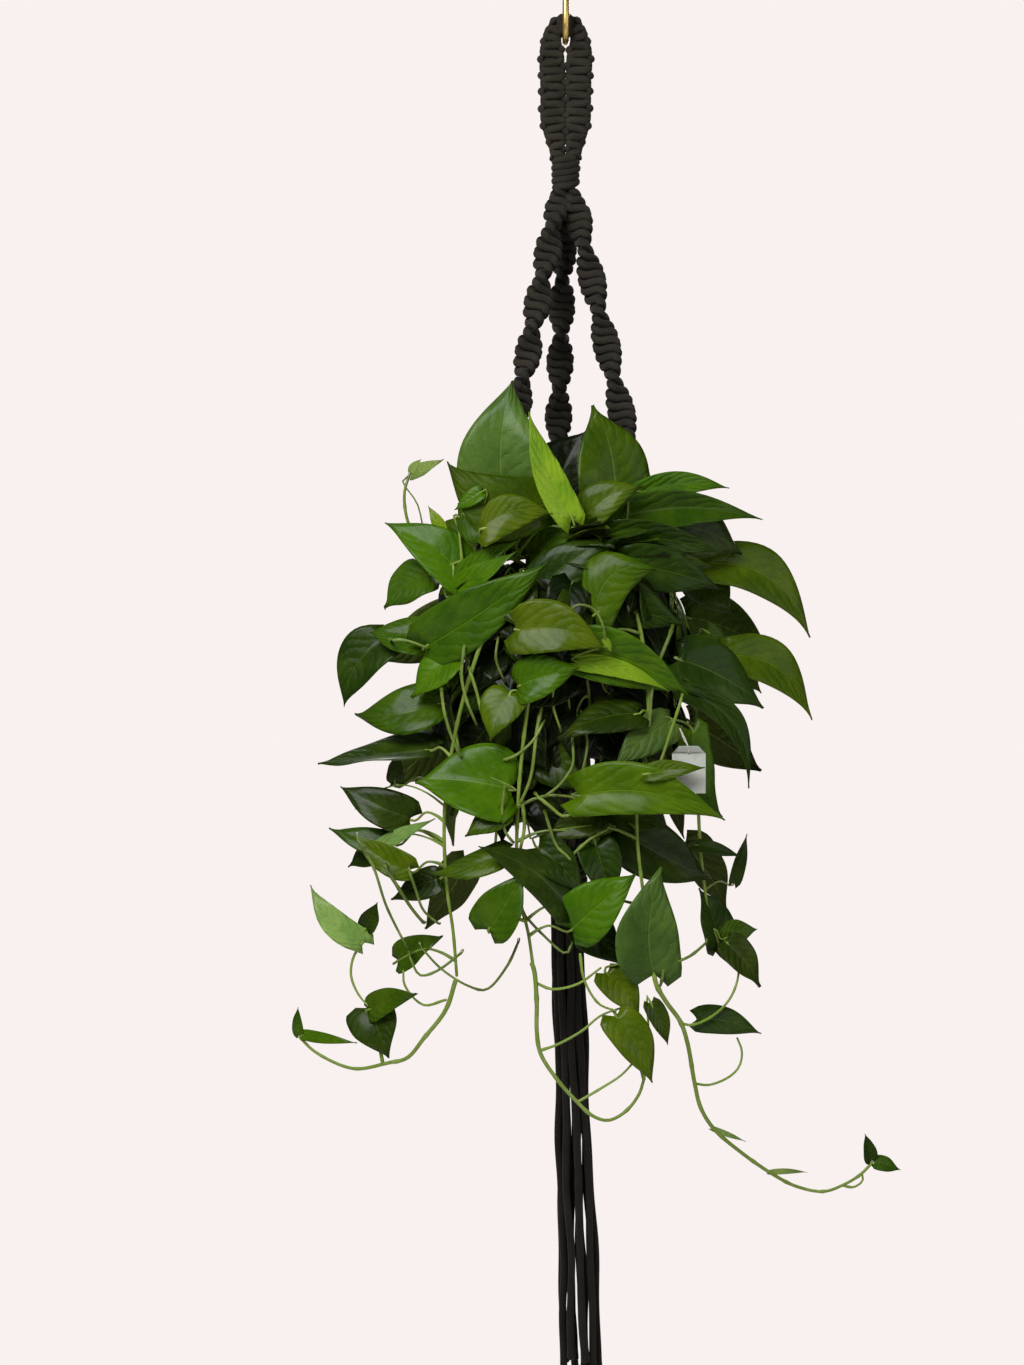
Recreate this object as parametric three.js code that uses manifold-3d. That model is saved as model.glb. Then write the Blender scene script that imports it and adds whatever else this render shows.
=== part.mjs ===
// A hanging macrame planter: brass ceiling hook, knotted cord hanger, pot, soil, pothos vines and a paper tag.
// Millimetres, +Z up. The origin is the centre of the ceiling plate's top face.
import * as THREE from 'three';
import { mergeVertices } from 'three/addons/utils/BufferGeometryUtils.js';
import Module from 'manifold-3d';

const wasm = await Module();
wasm.setup();

// ---- driving dimensions ----
const CLEARANCE = 0.3; // between pieces that touch
const CORD = 6.5; // diameter of the hanger's cord
const WIRE = 5.5; // diameter of the hook's wire

const PLATE_RADIUS = 26;
const PLATE_THICKNESS = 3;
const SCREW_CIRCLE = 18;
const SCREW_SHANK = 1.75; // radius
const SCREW_HEAD = 3.9; // radius
const SCREW_LENGTH = 25;

const BOWL_BOTTOM = -62; // height of the hook's bowl, where the loop rests
const BOWL_RADIUS = 15.25; // to the middle of the wire

const CROWN_TOP = -40; // top of the hanging loop
const LOOP_BOTTOM = -161.5;
const COLLAR_TOP = -162;
const COLLAR_BOTTOM = -190;
const COLLAR_RADIUS = 12.4;

const ARM_TOP = -192.6;
const ARM_BOTTOM = -509;
const ARM_TOP_RADIUS = 6.6; // from the hanger's axis
const ARM_BOTTOM_RADIUS = 82;
const ARM_WIDE = 11.3; // half width of the spiral braid
const ARM_NARROW = 5.9;
const HANGER_TURN = 6; // degrees that the three arms are turned about the vertical

const POT_RIM_TOP = -525;
const POT_RIM_BOTTOM = -540;
const POT_RIM_RADIUS = 72;
const POT_TOP_RADIUS = 68;
const POT_BASE = -666;
const POT_BASE_RADIUS = 52;
const POT_WALL = 2.2;
const SOIL_TOP = -541.5;

const NET_KNOT_TOP = -583;
const NET_KNOT_BOTTOM = -611;
const NET_KNOT_RADIUS = 72.5; // from the hanger's axis
const NET_GAP = 3.4; // between the slanting end of a run of cords and the knot it enters
const BOTTOM_KNOT_TOP = -744.6;
const BOTTOM_KNOT_BOTTOM = -777;
const BOTTOM_KNOT_RADIUS = 19;

const TASSEL_TOP = -781;
const TASSEL_BOTTOM = -1176;

const LEAF_THICKNESS = 1.2;
const STEM = 1.9; // radius of a vine's stem
const STALK = 1.3; // radius of a leaf's stalk
const FOLIAGE_BOW = 0.45; // how steeply the foliage curves back beyond the pot's sides
const POT_LIFT = 12; // how far the pot lifts in its cradle
const VINE_SWING = 8; // degrees, each way

// ---- materials ----
const paint = (color, roughness, metalness = 0) =>
  new THREE.MeshStandardMaterial({ color, roughness, metalness });
const BRASS = paint('#b08a3c', 0.3, 0.9);
const BLACK_CORD = paint('#26241e', 0.9);
const POT_BLACK = paint('#191a18', 0.6);
const SOIL_BROWN = paint('#2c2016', 0.95);
const LEAF_GREEN = paint('#3f7a16', 0.35);
const PAPER = paint('#d9d8d4', 0.85);

// ---- helpers ----
const v = (x, y, z) => new THREE.Vector3(x, y, z);
const mix = THREE.MathUtils.lerp;
const radians = THREE.MathUtils.degToRad;
const smooth = THREE.MathUtils.smoothstep;

// A point at an angle from the front (-Y), turning towards +X, and a distance from the hanger's axis.
const around = (degrees, radius, z) =>
  v(Math.sin(radians(degrees)) * radius, -Math.cos(radians(degrees)) * radius, z);

const routeOf = (points) => new THREE.CatmullRomCurve3(points, false, 'centripetal');

function solidOf(geometry) {
  const bare = geometry.index ? geometry.toNonIndexed() : geometry.clone();
  bare.deleteAttribute('normal');
  bare.deleteAttribute('uv');
  const merged = mergeVertices(bare, 1e-3);
  return new wasm.Manifold(
    new wasm.Mesh({
      numProp: 3,
      vertProperties: merged.attributes.position.array,
      triVerts: new Uint32Array(merged.index.array),
    }),
  );
}

function geometryOf(solid) {
  const mesh = solid.getMesh();
  const shared = new THREE.BufferGeometry();
  shared.setAttribute('position', new THREE.BufferAttribute(mesh.vertProperties, 3));
  shared.setIndex(new THREE.BufferAttribute(mesh.triVerts, 1));
  const geometry = shared.toNonIndexed();
  geometry.computeVertexNormals();
  return geometry;
}

const joined = (solids) => solids.reduce((whole, next) => whole.add(next));
const cut = (solid, tools) => tools.reduce((rest, tool) => rest.subtract(tool), solid);

// The largest of the separate bodies that a cut leaves.
function mainBody(solid) {
  const bodies = solid.decompose();
  return bodies.reduce((best, body) => (body.volume() > best.volume() ? body : best));
}

// A closed tube along a route. section(t) gives the half widths across the section and the turn of its
// first axis, in degrees, from the side direction, which is square to the route and to facing(t).
function sweep(route, section, { sides = 8, steps = 12, facing = null } = {}) {
  const geometry = new THREE.CylinderGeometry(1, 1, 1, sides, steps);
  const frames = route.computeFrenetFrames(steps, false);
  const places = geometry.attributes.position;
  for (let i = 0; i < places.count; i += 1) {
    const t = THREE.MathUtils.clamp(places.getY(i) + 0.5, 0, 1);
    const ring = Math.round(t * steps);
    const centre = route.getPointAt(t);
    const along = frames.tangents[ring];
    const side = facing
      ? along.clone().cross(facing(t)).normalize()
      : frames.normals[ring].clone();
    const out = side.clone().cross(along).normalize();
    const { wide, thick, turn = 0 } = section(t);
    const x = places.getX(i) * wide;
    const z = places.getZ(i) * thick;
    const c = Math.cos(radians(turn));
    const s = Math.sin(radians(turn));
    centre.addScaledVector(side, x * c - z * s).addScaledVector(out, x * s + z * c);
    places.setXYZ(i, centre.x, centre.y, centre.z);
  }
  const solid = solidOf(geometry);
  return solid.volume() < 0 ? solidOf(turnedInsideOut(geometry)) : solid;
}

function turnedInsideOut(geometry) {
  const flipped = geometry.toNonIndexed();
  const places = flipped.attributes.position;
  for (let i = 0; i < places.count; i += 3) {
    const second = v(0, 0, 0).fromBufferAttribute(places, i + 1);
    const third = v(0, 0, 0).fromBufferAttribute(places, i + 2);
    places.setXYZ(i + 1, third.x, third.y, third.z);
    places.setXYZ(i + 2, second.x, second.y, second.z);
  }
  return flipped;
}

const roundTube = (points, radius, sides, steps) =>
  sweep(routeOf(points), () => ({ wide: radius, thick: radius }), { sides, steps });

// A solid of revolution about +Z from [radius, z] pairs that start and end on the axis, from the bottom up.
function turned(profile, sides) {
  const points = profile.map(([r, z]) => new THREE.Vector2(r, z));
  const geometry = new THREE.LatheGeometry(points, sides);
  geometry.rotateX(Math.PI / 2);
  const solid = solidOf(geometry);
  return solid.volume() < 0 ? solidOf(turnedInsideOut(geometry)) : solid;
}

const moved = (solid, x, y, z) => solid.translate([x, y, z]);

// ---- ceiling hook ----
const screwPlaces = [0, 120, 240].map((turn) => around(turn, SCREW_CIRCLE, 0));

function ceilingPlate() {
  const disc = turned(
    [
      [0, -PLATE_THICKNESS],
      [PLATE_RADIUS - 1.2, -PLATE_THICKNESS],
      [PLATE_RADIUS, -PLATE_THICKNESS + 1.2],
      [PLATE_RADIUS, 0],
      [0, 0],
    ],
    28,
  );
  const hole = turned(
    [
      [0, -PLATE_THICKNESS - 1],
      [SCREW_HEAD + 1.4, -PLATE_THICKNESS - 1],
      [SCREW_SHANK + 0.5, -0.5],
      [SCREW_SHANK + 0.5, 1],
      [0, 1],
    ],
    10,
  );
  return cut(disc, screwPlaces.map((place) => moved(hole, place.x, place.y, 0)));
}

// A countersunk wood screw, its head in the plate and its point up in the ceiling.
function plateScrew(place) {
  const screw = turned(
    [
      [0, -PLATE_THICKNESS],
      [SCREW_HEAD - 0.4, -PLATE_THICKNESS],
      [SCREW_SHANK, -0.5],
      [SCREW_SHANK, SCREW_LENGTH - 6],
      [0, SCREW_LENGTH - PLATE_THICKNESS],
    ],
    10,
  );
  return moved(screw, place.x, place.y, 0);
}

// Bent wire: a boss under the plate, a neck that leans forward, a bowl, and a short tip at the back.
function ceilingHook() {
  const bowlMiddle = BOWL_BOTTOM - WIRE / 2 + BOWL_RADIUS;
  const wire = [v(0, 0, -5), v(0, 0, -13), v(0, -7, -22), v(0, -13.5, -31), v(0, -BOWL_RADIUS, -40)];
  for (let turn = 0; turn <= 180; turn += 22.5) {
    const angle = radians(turn);
    wire.push(v(0, -Math.cos(angle) * BOWL_RADIUS, bowlMiddle - Math.sin(angle) * BOWL_RADIUS));
  }
  wire.push(v(0, BOWL_RADIUS + 0.6, bowlMiddle + 8));
  const boss = turned(
    [
      [0, -9],
      [4.4, -9],
      [6.4, -PLATE_THICKNESS - CLEARANCE],
      [0, -PLATE_THICKNESS - CLEARANCE],
    ],
    16,
  );
  return roundTube(wire, WIRE / 2, 8, 24).add(boss);
}

// ---- knotted hanger ----

// The braid of the loop goes up from the collar, over the hook and down again, with an eye for the wire.
function hangingLoop() {
  const crown = 11.7;
  const eye = CROWN_TOP - 10.9 - crown;
  const legs = [v(-7, 0, LOOP_BOTTOM), v(-7, 0, -157), v(-8.6, 0, -147), v(-11.3, 0, -128), v(-crown, 0, -96)];
  const points = [...legs];
  for (let turn = 0; turn <= 180; turn += 30) {
    const angle = radians(turn);
    points.push(v(-Math.cos(angle) * crown, 0, eye + Math.sin(angle) * crown));
  }
  points.push(...legs.reverse().map((p) => v(-p.x, p.y, p.z)));
  const section = (t) => {
    const fromCrown = Math.abs(t - 0.5) * 2;
    const roundTheEye = 1 - smooth(fromCrown, 0.1, 0.3);
    const atTheCrown = 1 - smooth(fromCrown, 0, 0.1);
    const atTheCollar = smooth(fromCrown, 0.72, 1);
    const leg = mix(10.2, 6.2, atTheCollar);
    return { wide: mix(mix(leg, 7.4, roundTheEye), 10.8, atTheCrown), thick: mix(6, 7.5, atTheCollar) };
  };
  return sweep(routeOf(points), section, { sides: 8, steps: 28, facing: () => v(0, -1, 0) });
}

function wrappedProfile(bottom, top, radius, wraps) {
  const profile = [[0, bottom]];
  const pitch = (top - bottom) / wraps;
  for (let i = 0; i < wraps; i += 1) {
    const low = bottom + i * pitch;
    profile.push([radius - 0.9, low], [radius, low + pitch * 0.5]);
  }
  profile.push([radius - 0.9, top], [0, top]);
  return profile;
}

const topCollar = () => turned(wrappedProfile(COLLAR_BOTTOM, COLLAR_TOP, COLLAR_RADIUS, 5), 14);

// Each arm: angle from the front, the height of one bulge as seen from the front, and the drop of half a turn.
const ARMS = {
  arm_left: { angle: HANGER_TURN - 60, bulge: -243, halfTurn: 43 },
  arm_right: { angle: HANGER_TURN + 60, bulge: -265, halfTurn: 55.5 },
  arm_back: { angle: HANGER_TURN + 180, bulge: -330, halfTurn: 46 },
};

// A flat four-cord braid that spirals down and outwards.
function arm({ angle, bulge, halfTurn }) {
  const route = new THREE.LineCurve3(
    around(angle, ARM_TOP_RADIUS, ARM_TOP),
    around(angle, ARM_BOTTOM_RADIUS, ARM_BOTTOM),
  );
  const section = (t) => {
    const z = mix(ARM_TOP, ARM_BOTTOM, t);
    const opened = smooth(t, 0, 0.1);
    return {
      wide: mix(4.4, ARM_WIDE, opened),
      thick: mix(4.4, ARM_NARROW, opened),
      turn: (180 * (z - bulge)) / halfTurn,
    };
  };
  return sweep(route, section, { sides: 8, steps: 30, facing: () => v(0, -1, 0) });
}

// The space round an arm that its spiral sweeps, whichever way it is turned.
function armSpace({ angle }) {
  const points = [around(angle, ARM_TOP_RADIUS, ARM_TOP), around(angle, ARM_BOTTOM_RADIUS, ARM_BOTTOM - 4)];
  return roundTube(points, ARM_WIDE + 1.6, 8, 1);
}

// Two cords side by side from an arm's end to the net knot at one side of it.
function netUpper(armAngle, side, grow = 0) {
  const knotAngle = armAngle + side * 60;
  const knotSide = knotAngle - side * 6.6;
  const points = [
    around(armAngle + side * 5.2, ARM_BOTTOM_RADIUS, ARM_BOTTOM - NET_GAP),
    around(armAngle + side * 10, 80.5, -523),
    around(armAngle + side * 24, 78.4, -540),
    around(armAngle + side * 42, 75.5, -560),
    around(knotSide, NET_KNOT_RADIUS - 1, NET_KNOT_TOP + NET_GAP),
  ];
  const outwards = (t) => around(mix(armAngle + side * 4.6, knotSide, t), 1, 0);
  const section = () => ({ wide: CORD - 0.4 + grow, thick: CORD / 2 + grow });
  return sweep(routeOf(points), section, { sides: 8, steps: 8, facing: outwards });
}

// Three square knots, one above the other, tied with the cords of two neighbouring arms.
function netKnot(angle, grow = 0) {
  const route = new THREE.LineCurve3(
    around(angle, NET_KNOT_RADIUS, NET_KNOT_TOP),
    around(angle, NET_KNOT_RADIUS - 3, NET_KNOT_BOTTOM),
  );
  const section = (t) => {
    const bump = Math.abs(Math.sin(t * Math.PI * 3));
    return { wide: 12.6 + 2 * bump + grow, thick: 6 + 1.4 * bump + grow };
  };
  return sweep(route, section, { sides: 8, steps: 9, facing: () => around(angle, 1, 0) });
}

// Four cords from a net knot down the pot's side and in under it.
function netLower(angle) {
  const points = [
    around(angle, NET_KNOT_RADIUS - 4, NET_KNOT_BOTTOM - NET_GAP),
    around(angle, 66, -636),
    around(angle, 62, -661),
    around(angle, 48.5, -690),
    around(angle, 25, -724),
    around(angle, 9.6, BOTTOM_KNOT_TOP + NET_GAP + 1.6),
  ];
  const section = (t) => ({
    wide: mix(2 * CORD - 1, 6.9, smooth(t, 0.3, 0.95)),
    thick: mix(CORD / 2, 5.2, smooth(t, 0.6, 1)),
  });
  return sweep(routeOf(points), section, { sides: 8, steps: 10, facing: () => around(angle, 1, 0.3) });
}

const bottomKnot = () =>
  turned(wrappedProfile(BOTTOM_KNOT_BOTTOM, BOTTOM_KNOT_TOP, BOTTOM_KNOT_RADIUS, 5), 16);

// ---- tassel: three cords in the middle and nine round them, spreading and drifting a little to the right ----
const TASSEL_CORDS = 12;
const TASSEL_CORD = CORD - 0.4;

function tasselRoute(i) {
  const inner = i < 3;
  const angle = inner ? 120 * i + 20 : 40 * (i - 3) + 8;
  const topRadius = inner ? 4 : 10.4;
  const endRadius = topRadius * 1.65;
  const drop = 9 * Math.sin(i * 2.4);
  const points = [];
  for (let k = 0; k <= 5; k += 1) {
    const t = k / 5;
    const place = around(angle, mix(topRadius, endRadius, t ** 1.3), mix(TASSEL_TOP, TASSEL_BOTTOM + drop, t));
    points.push(place.add(v(13.5 * t, 0, 0)));
  }
  return points;
}

const tasselCord = (i) => roundTube(tasselRoute(i), TASSEL_CORD / 2, 8, 6);

// ---- pot and soil ----
function pot() {
  const inner = POT_WALL;
  const profile = [
    [0, POT_BASE],
    [POT_BASE_RADIUS - 2, POT_BASE],
    [POT_BASE_RADIUS, POT_BASE + 2],
    [POT_TOP_RADIUS, POT_RIM_BOTTOM - 3],
    [POT_RIM_RADIUS - 1, POT_RIM_BOTTOM],
    [POT_RIM_RADIUS, POT_RIM_TOP - 1.5],
    [POT_RIM_RADIUS - 1.5, POT_RIM_TOP],
    [POT_TOP_RADIUS - 0.5, POT_RIM_TOP],
    [POT_TOP_RADIUS - inner, POT_RIM_BOTTOM - 3],
    [POT_BASE_RADIUS - inner, POT_BASE + 4],
    [0, POT_BASE + inner + 0.3],
  ];
  const drain = solidOf(new THREE.CylinderGeometry(4, 4, 12, 8).rotateX(Math.PI / 2));
  const holes = [60, 180, 300].map((turn) => around(turn, 26, POT_BASE + 3));
  return cut(turned(profile, 24), holes.map((p) => moved(drain, p.x, p.y, p.z)));
}

// The pot with everything in it, a little larger, from under the soil's surface down.
const potSpace = () =>
  turned(
    [
      [0, POT_BASE - 0.5],
      [POT_BASE_RADIUS + 0.6, POT_BASE - 0.5],
      [POT_RIM_RADIUS + 0.6, POT_RIM_BOTTOM - 4],
      [POT_RIM_RADIUS + 0.6, POT_RIM_TOP + 0.6],
      [POT_TOP_RADIUS - POT_WALL - 0.6, POT_RIM_TOP + 0.6],
      [POT_TOP_RADIUS - POT_WALL - 0.6, SOIL_TOP + CLEARANCE + 0.2],
      [0, SOIL_TOP + CLEARANCE + 0.2],
    ],
    24,
  );

function soil() {
  const outer = POT_WALL + CLEARANCE + 0.45;
  return turned(
    [
      [0, POT_BASE + 6.4],
      [POT_BASE_RADIUS - outer, POT_BASE + 6.4],
      [POT_TOP_RADIUS - outer - 0.2, SOIL_TOP - 4],
      [POT_TOP_RADIUS - outer - 7, SOIL_TOP - 1.5],
      [0, SOIL_TOP],
    ],
    20,
  );
}

// ---- pothos vines ----
// A leaf is [base, tip, width, turn]: turn is how far its face is turned about its length, in degrees, from
// looking to the front, or to the back for a vine behind the pot. Its stalk runs from the stem to the base.
const VINES = {
  trailing_vine_left: {
    swings: true,
    stem: [
      [-91, -97, -846], [-99, -98, -870], [-117, -97, -894], [-131, -96, -911], [-147, -95, -916],
      [-176, -95, -922], [-208, -95, -910], [-221, -95, -899],
    ],
    leaves: [
      [[-163, -98, -873], [-123, -106, -857], 25, 0],
      [[-163, -95, -871], [-147, -101, -911], 44, 10],
      [[-222, -95, -897], [-223, -98, -873], 10, 0],
      [[-219, -96, -896], [-173, -101, -900], 10, 0],
      [[-175, -96, -814], [-212, -102, -773], 18, 10],
    ],
  },
  trailing_vine_centre: {
    swings: true,
    stem: [
      [-27, -114, -836], [-25, -114, -862], [-25, -112, -884], [-22, -110, -903], [-8, -108, -925],
      [8, -106, -943], [20, -105, -954], [33, -104, -958], [47, -103, -951], [58, -103, -937], [62, -102, -925],
    ],
    leaves: [
      [[39, -104, -872], [68, -110, -925], 34, 0],
      [[67, -100, -862], [81, -102, -896], 17, 0],
    ],
  },
  trailing_vine_right: {
    swings: true,
    stem: [
      [72, -108, -848], [80, -107, -862], [92, -105, -879], [98, -103, -897], [104, -101, -930], [109, -100, -950],
      [120, -99, -968], [142, -98, -988], [169, -97, -1008], [190, -96, -1020], [214, -95, -1026],
      [230, -95, -1022], [246, -95, -1014], [256, -95, -1005],
    ],
    leaves: [
      [[118, -96, -888], [161, -100, -896], 24, 0],
      [[256, -95, -1003], [255, -97, -981], 11, 0],
      [[259, -95, -1004], [281, -97, -1012], 12, 0],
    ],
  },
  vine_crown_left: {
    stem: [[-16, -14, -540], [-26, -30, -516], [-40, -54, -503], [-62, -74, -499], [-88, -80, -504], [-112, -74, -514]],
    leaves: [
      [[-58, -62, -450], [-45, -50, -356], 62, 8],
      [[-32, -58, -452], [-89, -70, -468], 44, 18],
      [[4, -32, -467], [-32, -48, -381], 23, 0],
      [[-33, -55, -499], [25, -80, -468], 40, 5],
      [[-67, -68, -462], [-12, -74, -469], 30, 20],
      [[-88, -64, -464], [-45, -76, -487], 28, 10],
      [[-97, -82, -532], [-41, -94, -496], 24, 0],
      [[-84, -76, -511], [-151, -84, -471], 38, 15],
      [[-114, -62, -513], [-151, -76, -541], 44, 10],
      [[-129, -50, -430], [-102, -52, -418], 13, 0],
      [[-101, -47, -482], [-115, -47, -456], 12, 0],
    ],
  },
  vine_crown_right: {
    stem: [[18, 6, -540], [34, 4, -514], [56, 2, -498], [84, -4, -489], [110, -12, -498]],
    leaves: [
      [[8, 16, -440], [18, 24, -386], 44, 0],
      [[115, -32, -508], [208, -50, -564], 50, 5],
      [[104, -12, -508], [140, -22, -545], 48, 0],
    ],
  },
  vine_left: {
    stem: [
      [-36, -8, -540], [-60, -12, -516], [-86, -18, -526], [-98, -44, -560], [-98, -72, -610], [-88, -88, -660],
      [-82, -92, -700],
    ],
    leaves: [
      [[-113, -72, -566], [-163, -82, -561], 38, 15],
      [[-143, -66, -568], [-184, -76, -625], 38, 10],
      [[-95, -92, -582], [-128, -102, -615], 38, 10],
      [[-110, -78, -578], [-14, -102, -506], 56, 30],
      [[-106, -76, -618], [-175, -88, -626], 40, 35],
      [[-100, -72, -614], [-90, -84, -672], 38, 40],
    ],
  },
  vine_lower_left: {
    stem: [
      [-22, -42, -540], [-30, -60, -518], [-40, -78, -518], [-62, -93, -552], [-88, -98, -630], [-100, -98, -710], [-98, -98, -770],
      [-93, -98, -806], [-90, -97, -842],
    ],
    leaves: [
      [[-113, -92, -658], [-206, -98, -670], 48, 45],
      [[-129, -88, -715], [-187, -96, -689], 34, 10],
      [[-47, -106, -686], [-124, -116, -683], 58, 5],
      [[-144, -82, -736], [-197, -88, -724], 24, 10],
      [[-158, -96, -740], [-108, -106, -714], 14, 0],
      [[-129, -100, -757], [-175, -104, -729], 25, 0],
      [[-148, -62, -738], [-182, -66, -757], 30, 0],
      [[-105, -80, -764], [-145, -84, -782], 28, 0],
      [[-139, -88, -832], [-102, -92, -810], 28, 0],
    ],
  },
  vine_front: {
    stem: [
      [0, -40, -540], [-3, -66, -517], [-8, -84, -518], [-20, -99, -546], [-32, -106, -620], [-40, -108, -700], [-40, -110, -770],
      [-32, -113, -805], [-28, -114, -832],
    ],
    leaves: [
      [[-40, -110, -606], [9, -121, -591], 38, 5],
      [[-38, -100, -542], [28, -118, -575], 42, 10],
      [[-62, -106, -650], [-49, -114, -608], 34, 0],
      [[-57, -106, -750], [-108, -112, -757], 34, 0],
      [[-50, -115, -706], [-83, -120, -727], 25, 0],
      [[-64, -112, -803], [-36, -120, -755], 42, 0],
      [[-8, -98, -758], [-55, -101, -739], 34, 0],
      [[3, -115, -802], [54, -124, -757], 46, 5],
    ],
  },
  vine_front_right: {
    stem: [
      [22, -42, -540], [30, -58, -519], [40, -76, -516], [56, -92, -546], [66, -99, -630], [56, -104, -710], [62, -106, -780],
      [70, -108, -843],
    ],
    leaves: [
      [[7, -100, -572], [97, -114, -614], 52, 45],
      [[41, -48, -444], [22, -38, -373], 60, 10],
      [[66, -48, -443], [136, -46, -441], 42, 60],
      [[50, -54, -463], [164, -60, -468], 60, 35],
      [[88, -52, -478], [147, -56, -492], 54, 15],
      [[27, -96, -542], [76, -103, -519], 48, 10],
      [[88, -98, -633], [40, -110, -671], 45, 10],
      [[10, -112, -698], [125, -122, -716], 56, 35],
      [[57, -108, -630], [-6, -117, -650], 42, 45],
      [[30, -92, -702], [83, -96, -722], 30, 0],
      [[40, -84, -722], [120, -88, -765], 54, 0],
      [[71, -106, -842], [76, -120, -752], 53, 0],
      [[10, -96, -792], [45, -100, -832], 38, 0],
      [[32, -106, -838], [58, -111, -874], 30, 0],
    ],
  },
  vine_right: {
    stem: [
      [40, 4, -540], [66, 6, -516], [90, 2, -528], [104, -24, -570], [107, -62, -640], [110, -80, -740],
      [118, -80, -806],
    ],
    leaves: [
      [[86, -88, -622], [150, -100, -689], 48, 45],
      [[97, -76, -606], [166, -88, -626], 46, 10],
      [[131, -60, -578], [206, -74, -632], 42, 5],
      [[138, -40, -585], [165, -36, -612], 26, 0],
      [[116, -50, -560], [138, -52, -576], 18, 0],
      [[107, -90, -736], [143, -94, -746], 12, 0],
      [[138, -85, -768], [149, -89, -728], 13, 0],
      [[107, -76, -668], [128, -82, -712], 30, 0],
      [[129, -82, -814], [158, -86, -807], 22, 0],
      [[126, -79, -820], [109, -80, -772], 36, 0],
      [[130, -77, -818], [161, -82, -855], 28, 0],
    ],
  },
  vine_back_left: {
    behind: true,
    stem: [
      [-20, 26, -540], [-36, 60, -515], [-50, 84, -519], [-62, 98, -552], [-64, 100, -620], [-56, 100, -690], [-60, 98, -750],
    ],
    leaves: [
      [[-60, 62, -500], [-128, 70, -474], 50, 10],
      [[-96, 84, -548], [-160, 84, -585], 48, 0],
      [[-28, 106, -570], [-10, 118, -632], 52, 10],
      [[-96, 98, -640], [-150, 96, -692], 50, 10],
      [[-32, 110, -690], [6, 118, -742], 48, 0],
      [[-84, 98, -760], [-120, 96, -815], 42, 0],
    ],
  },
  vine_back_right: {
    behind: true,
    stem: [[24, 26, -540], [46, 58, -514], [60, 80, -518], [72, 92, -548], [78, 96, -610], [72, 98, -680], [80, 96, -730]],
    leaves: [
      [[62, 52, -494], [132, 62, -470], 52, 10],
      [[104, 80, -546], [176, 82, -580], 50, 0],
      [[46, 104, -588], [24, 116, -652], 50, 10],
      [[108, 92, -636], [168, 92, -678], 50, 0],
      [[50, 108, -716], [34, 116, -776], 44, 0],
      [[104, 96, -742], [140, 94, -800], 44, 10],
    ],
  },
};

// The foliage curves round the pot: points far to a side lie further back, or further forward behind the pot.
const bowed = ([x, y, z], behind) => {
  const back = FOLIAGE_BOW * Math.max(0, Math.abs(x) - POT_RIM_RADIUS);
  return v(x, y + (behind ? -back : back), z);
};

// The heart-shaped outline of one half of a leaf: [share of the length, share of the half width].
const HALF_LEAF = [[-0.06, 0.62], [0.32, 1]];

function leafBlade([base, tip, width, turn], behind, grow) {
  const start = bowed(base, behind);
  const end = bowed(tip, behind);
  const long = start.distanceTo(end);
  const half = width / 2 + grow;
  const outline = new THREE.Shape();
  const height = (along) => along * (long + 3 * grow) - 1.5 * grow;
  outline.moveTo(0, height(0));
  HALF_LEAF.forEach(([along, across]) => outline.lineTo(across * half, height(along)));
  outline.lineTo(0, height(1));
  [...HALF_LEAF].reverse().forEach(([along, across]) => outline.lineTo(-across * half, height(along)));
  outline.closePath();
  const depth = LEAF_THICKNESS + 2 * grow;
  const plate = new THREE.ExtrudeGeometry(outline, { depth, bevelEnabled: false }).translate(0, 0, -depth / 2);
  const along = end.clone().sub(start).normalize();
  const looks = v(start.x / 220, behind ? 1 : -1, 0.35).applyAxisAngle(along, radians(turn));
  const side = along.clone().cross(looks).normalize();
  const face = side.clone().cross(along);
  const place = new THREE.Matrix4().makeBasis(side, along, face).setPosition(start);
  return solidOf(plate.applyMatrix4(place));
}

// A stalk leaves the stem a little above the leaf and arches over to its base.
function leafStalk(stem, [base, tip], behind, grow) {
  const start = bowed(base, behind);
  const end = bowed(tip, behind);
  let nearest = 0;
  for (let t = 0; t <= 1; t += 0.02) {
    if (stem.getPointAt(t).distanceTo(start) < stem.getPointAt(nearest).distanceTo(start)) nearest = t;
  }
  const from = stem.getPointAt(nearest);
  const into = start.clone().addScaledVector(end.clone().sub(start).normalize(), 5);
  const middle = from.clone().lerp(start, 0.55).add(v(0, 0, 0.1 * from.distanceTo(start)));
  const points = [from, middle, into];
  return sweep(routeOf(points), () => ({ wide: STALK + grow, thick: STALK + grow }), { sides: 3, steps: 2 });
}

function vine({ stem, leaves, behind = false }, grow = 0) {
  const smoothRoute = routeOf(stem.map((point) => bowed(point, behind)));
  const steps = Math.round(stem.length * 1.5);
  // Straight from ring to ring, so that a stalk that starts on this route starts inside the stem's tube.
  const route = new THREE.CatmullRomCurve3(smoothRoute.getSpacedPoints(steps), false, 'catmullrom', 0);
  route.arcLengthDivisions = 40 * steps;
  const thick = { wide: STEM + grow, thick: STEM + grow };
  const parts = [sweep(route, () => thick, { sides: 5, steps })];
  leaves.forEach((leaf) => parts.push(leafBlade(leaf, behind, grow), leafStalk(route, leaf, behind, grow)));
  return joined(parts);
}

// The same solid turned about Y through a point, as a vine end swings.
function swung(solid, [x, , z], degrees) {
  return solid.translate([-x, 0, -z]).rotate([0, degrees, 0]).translate([x, 0, z]);
}

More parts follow.
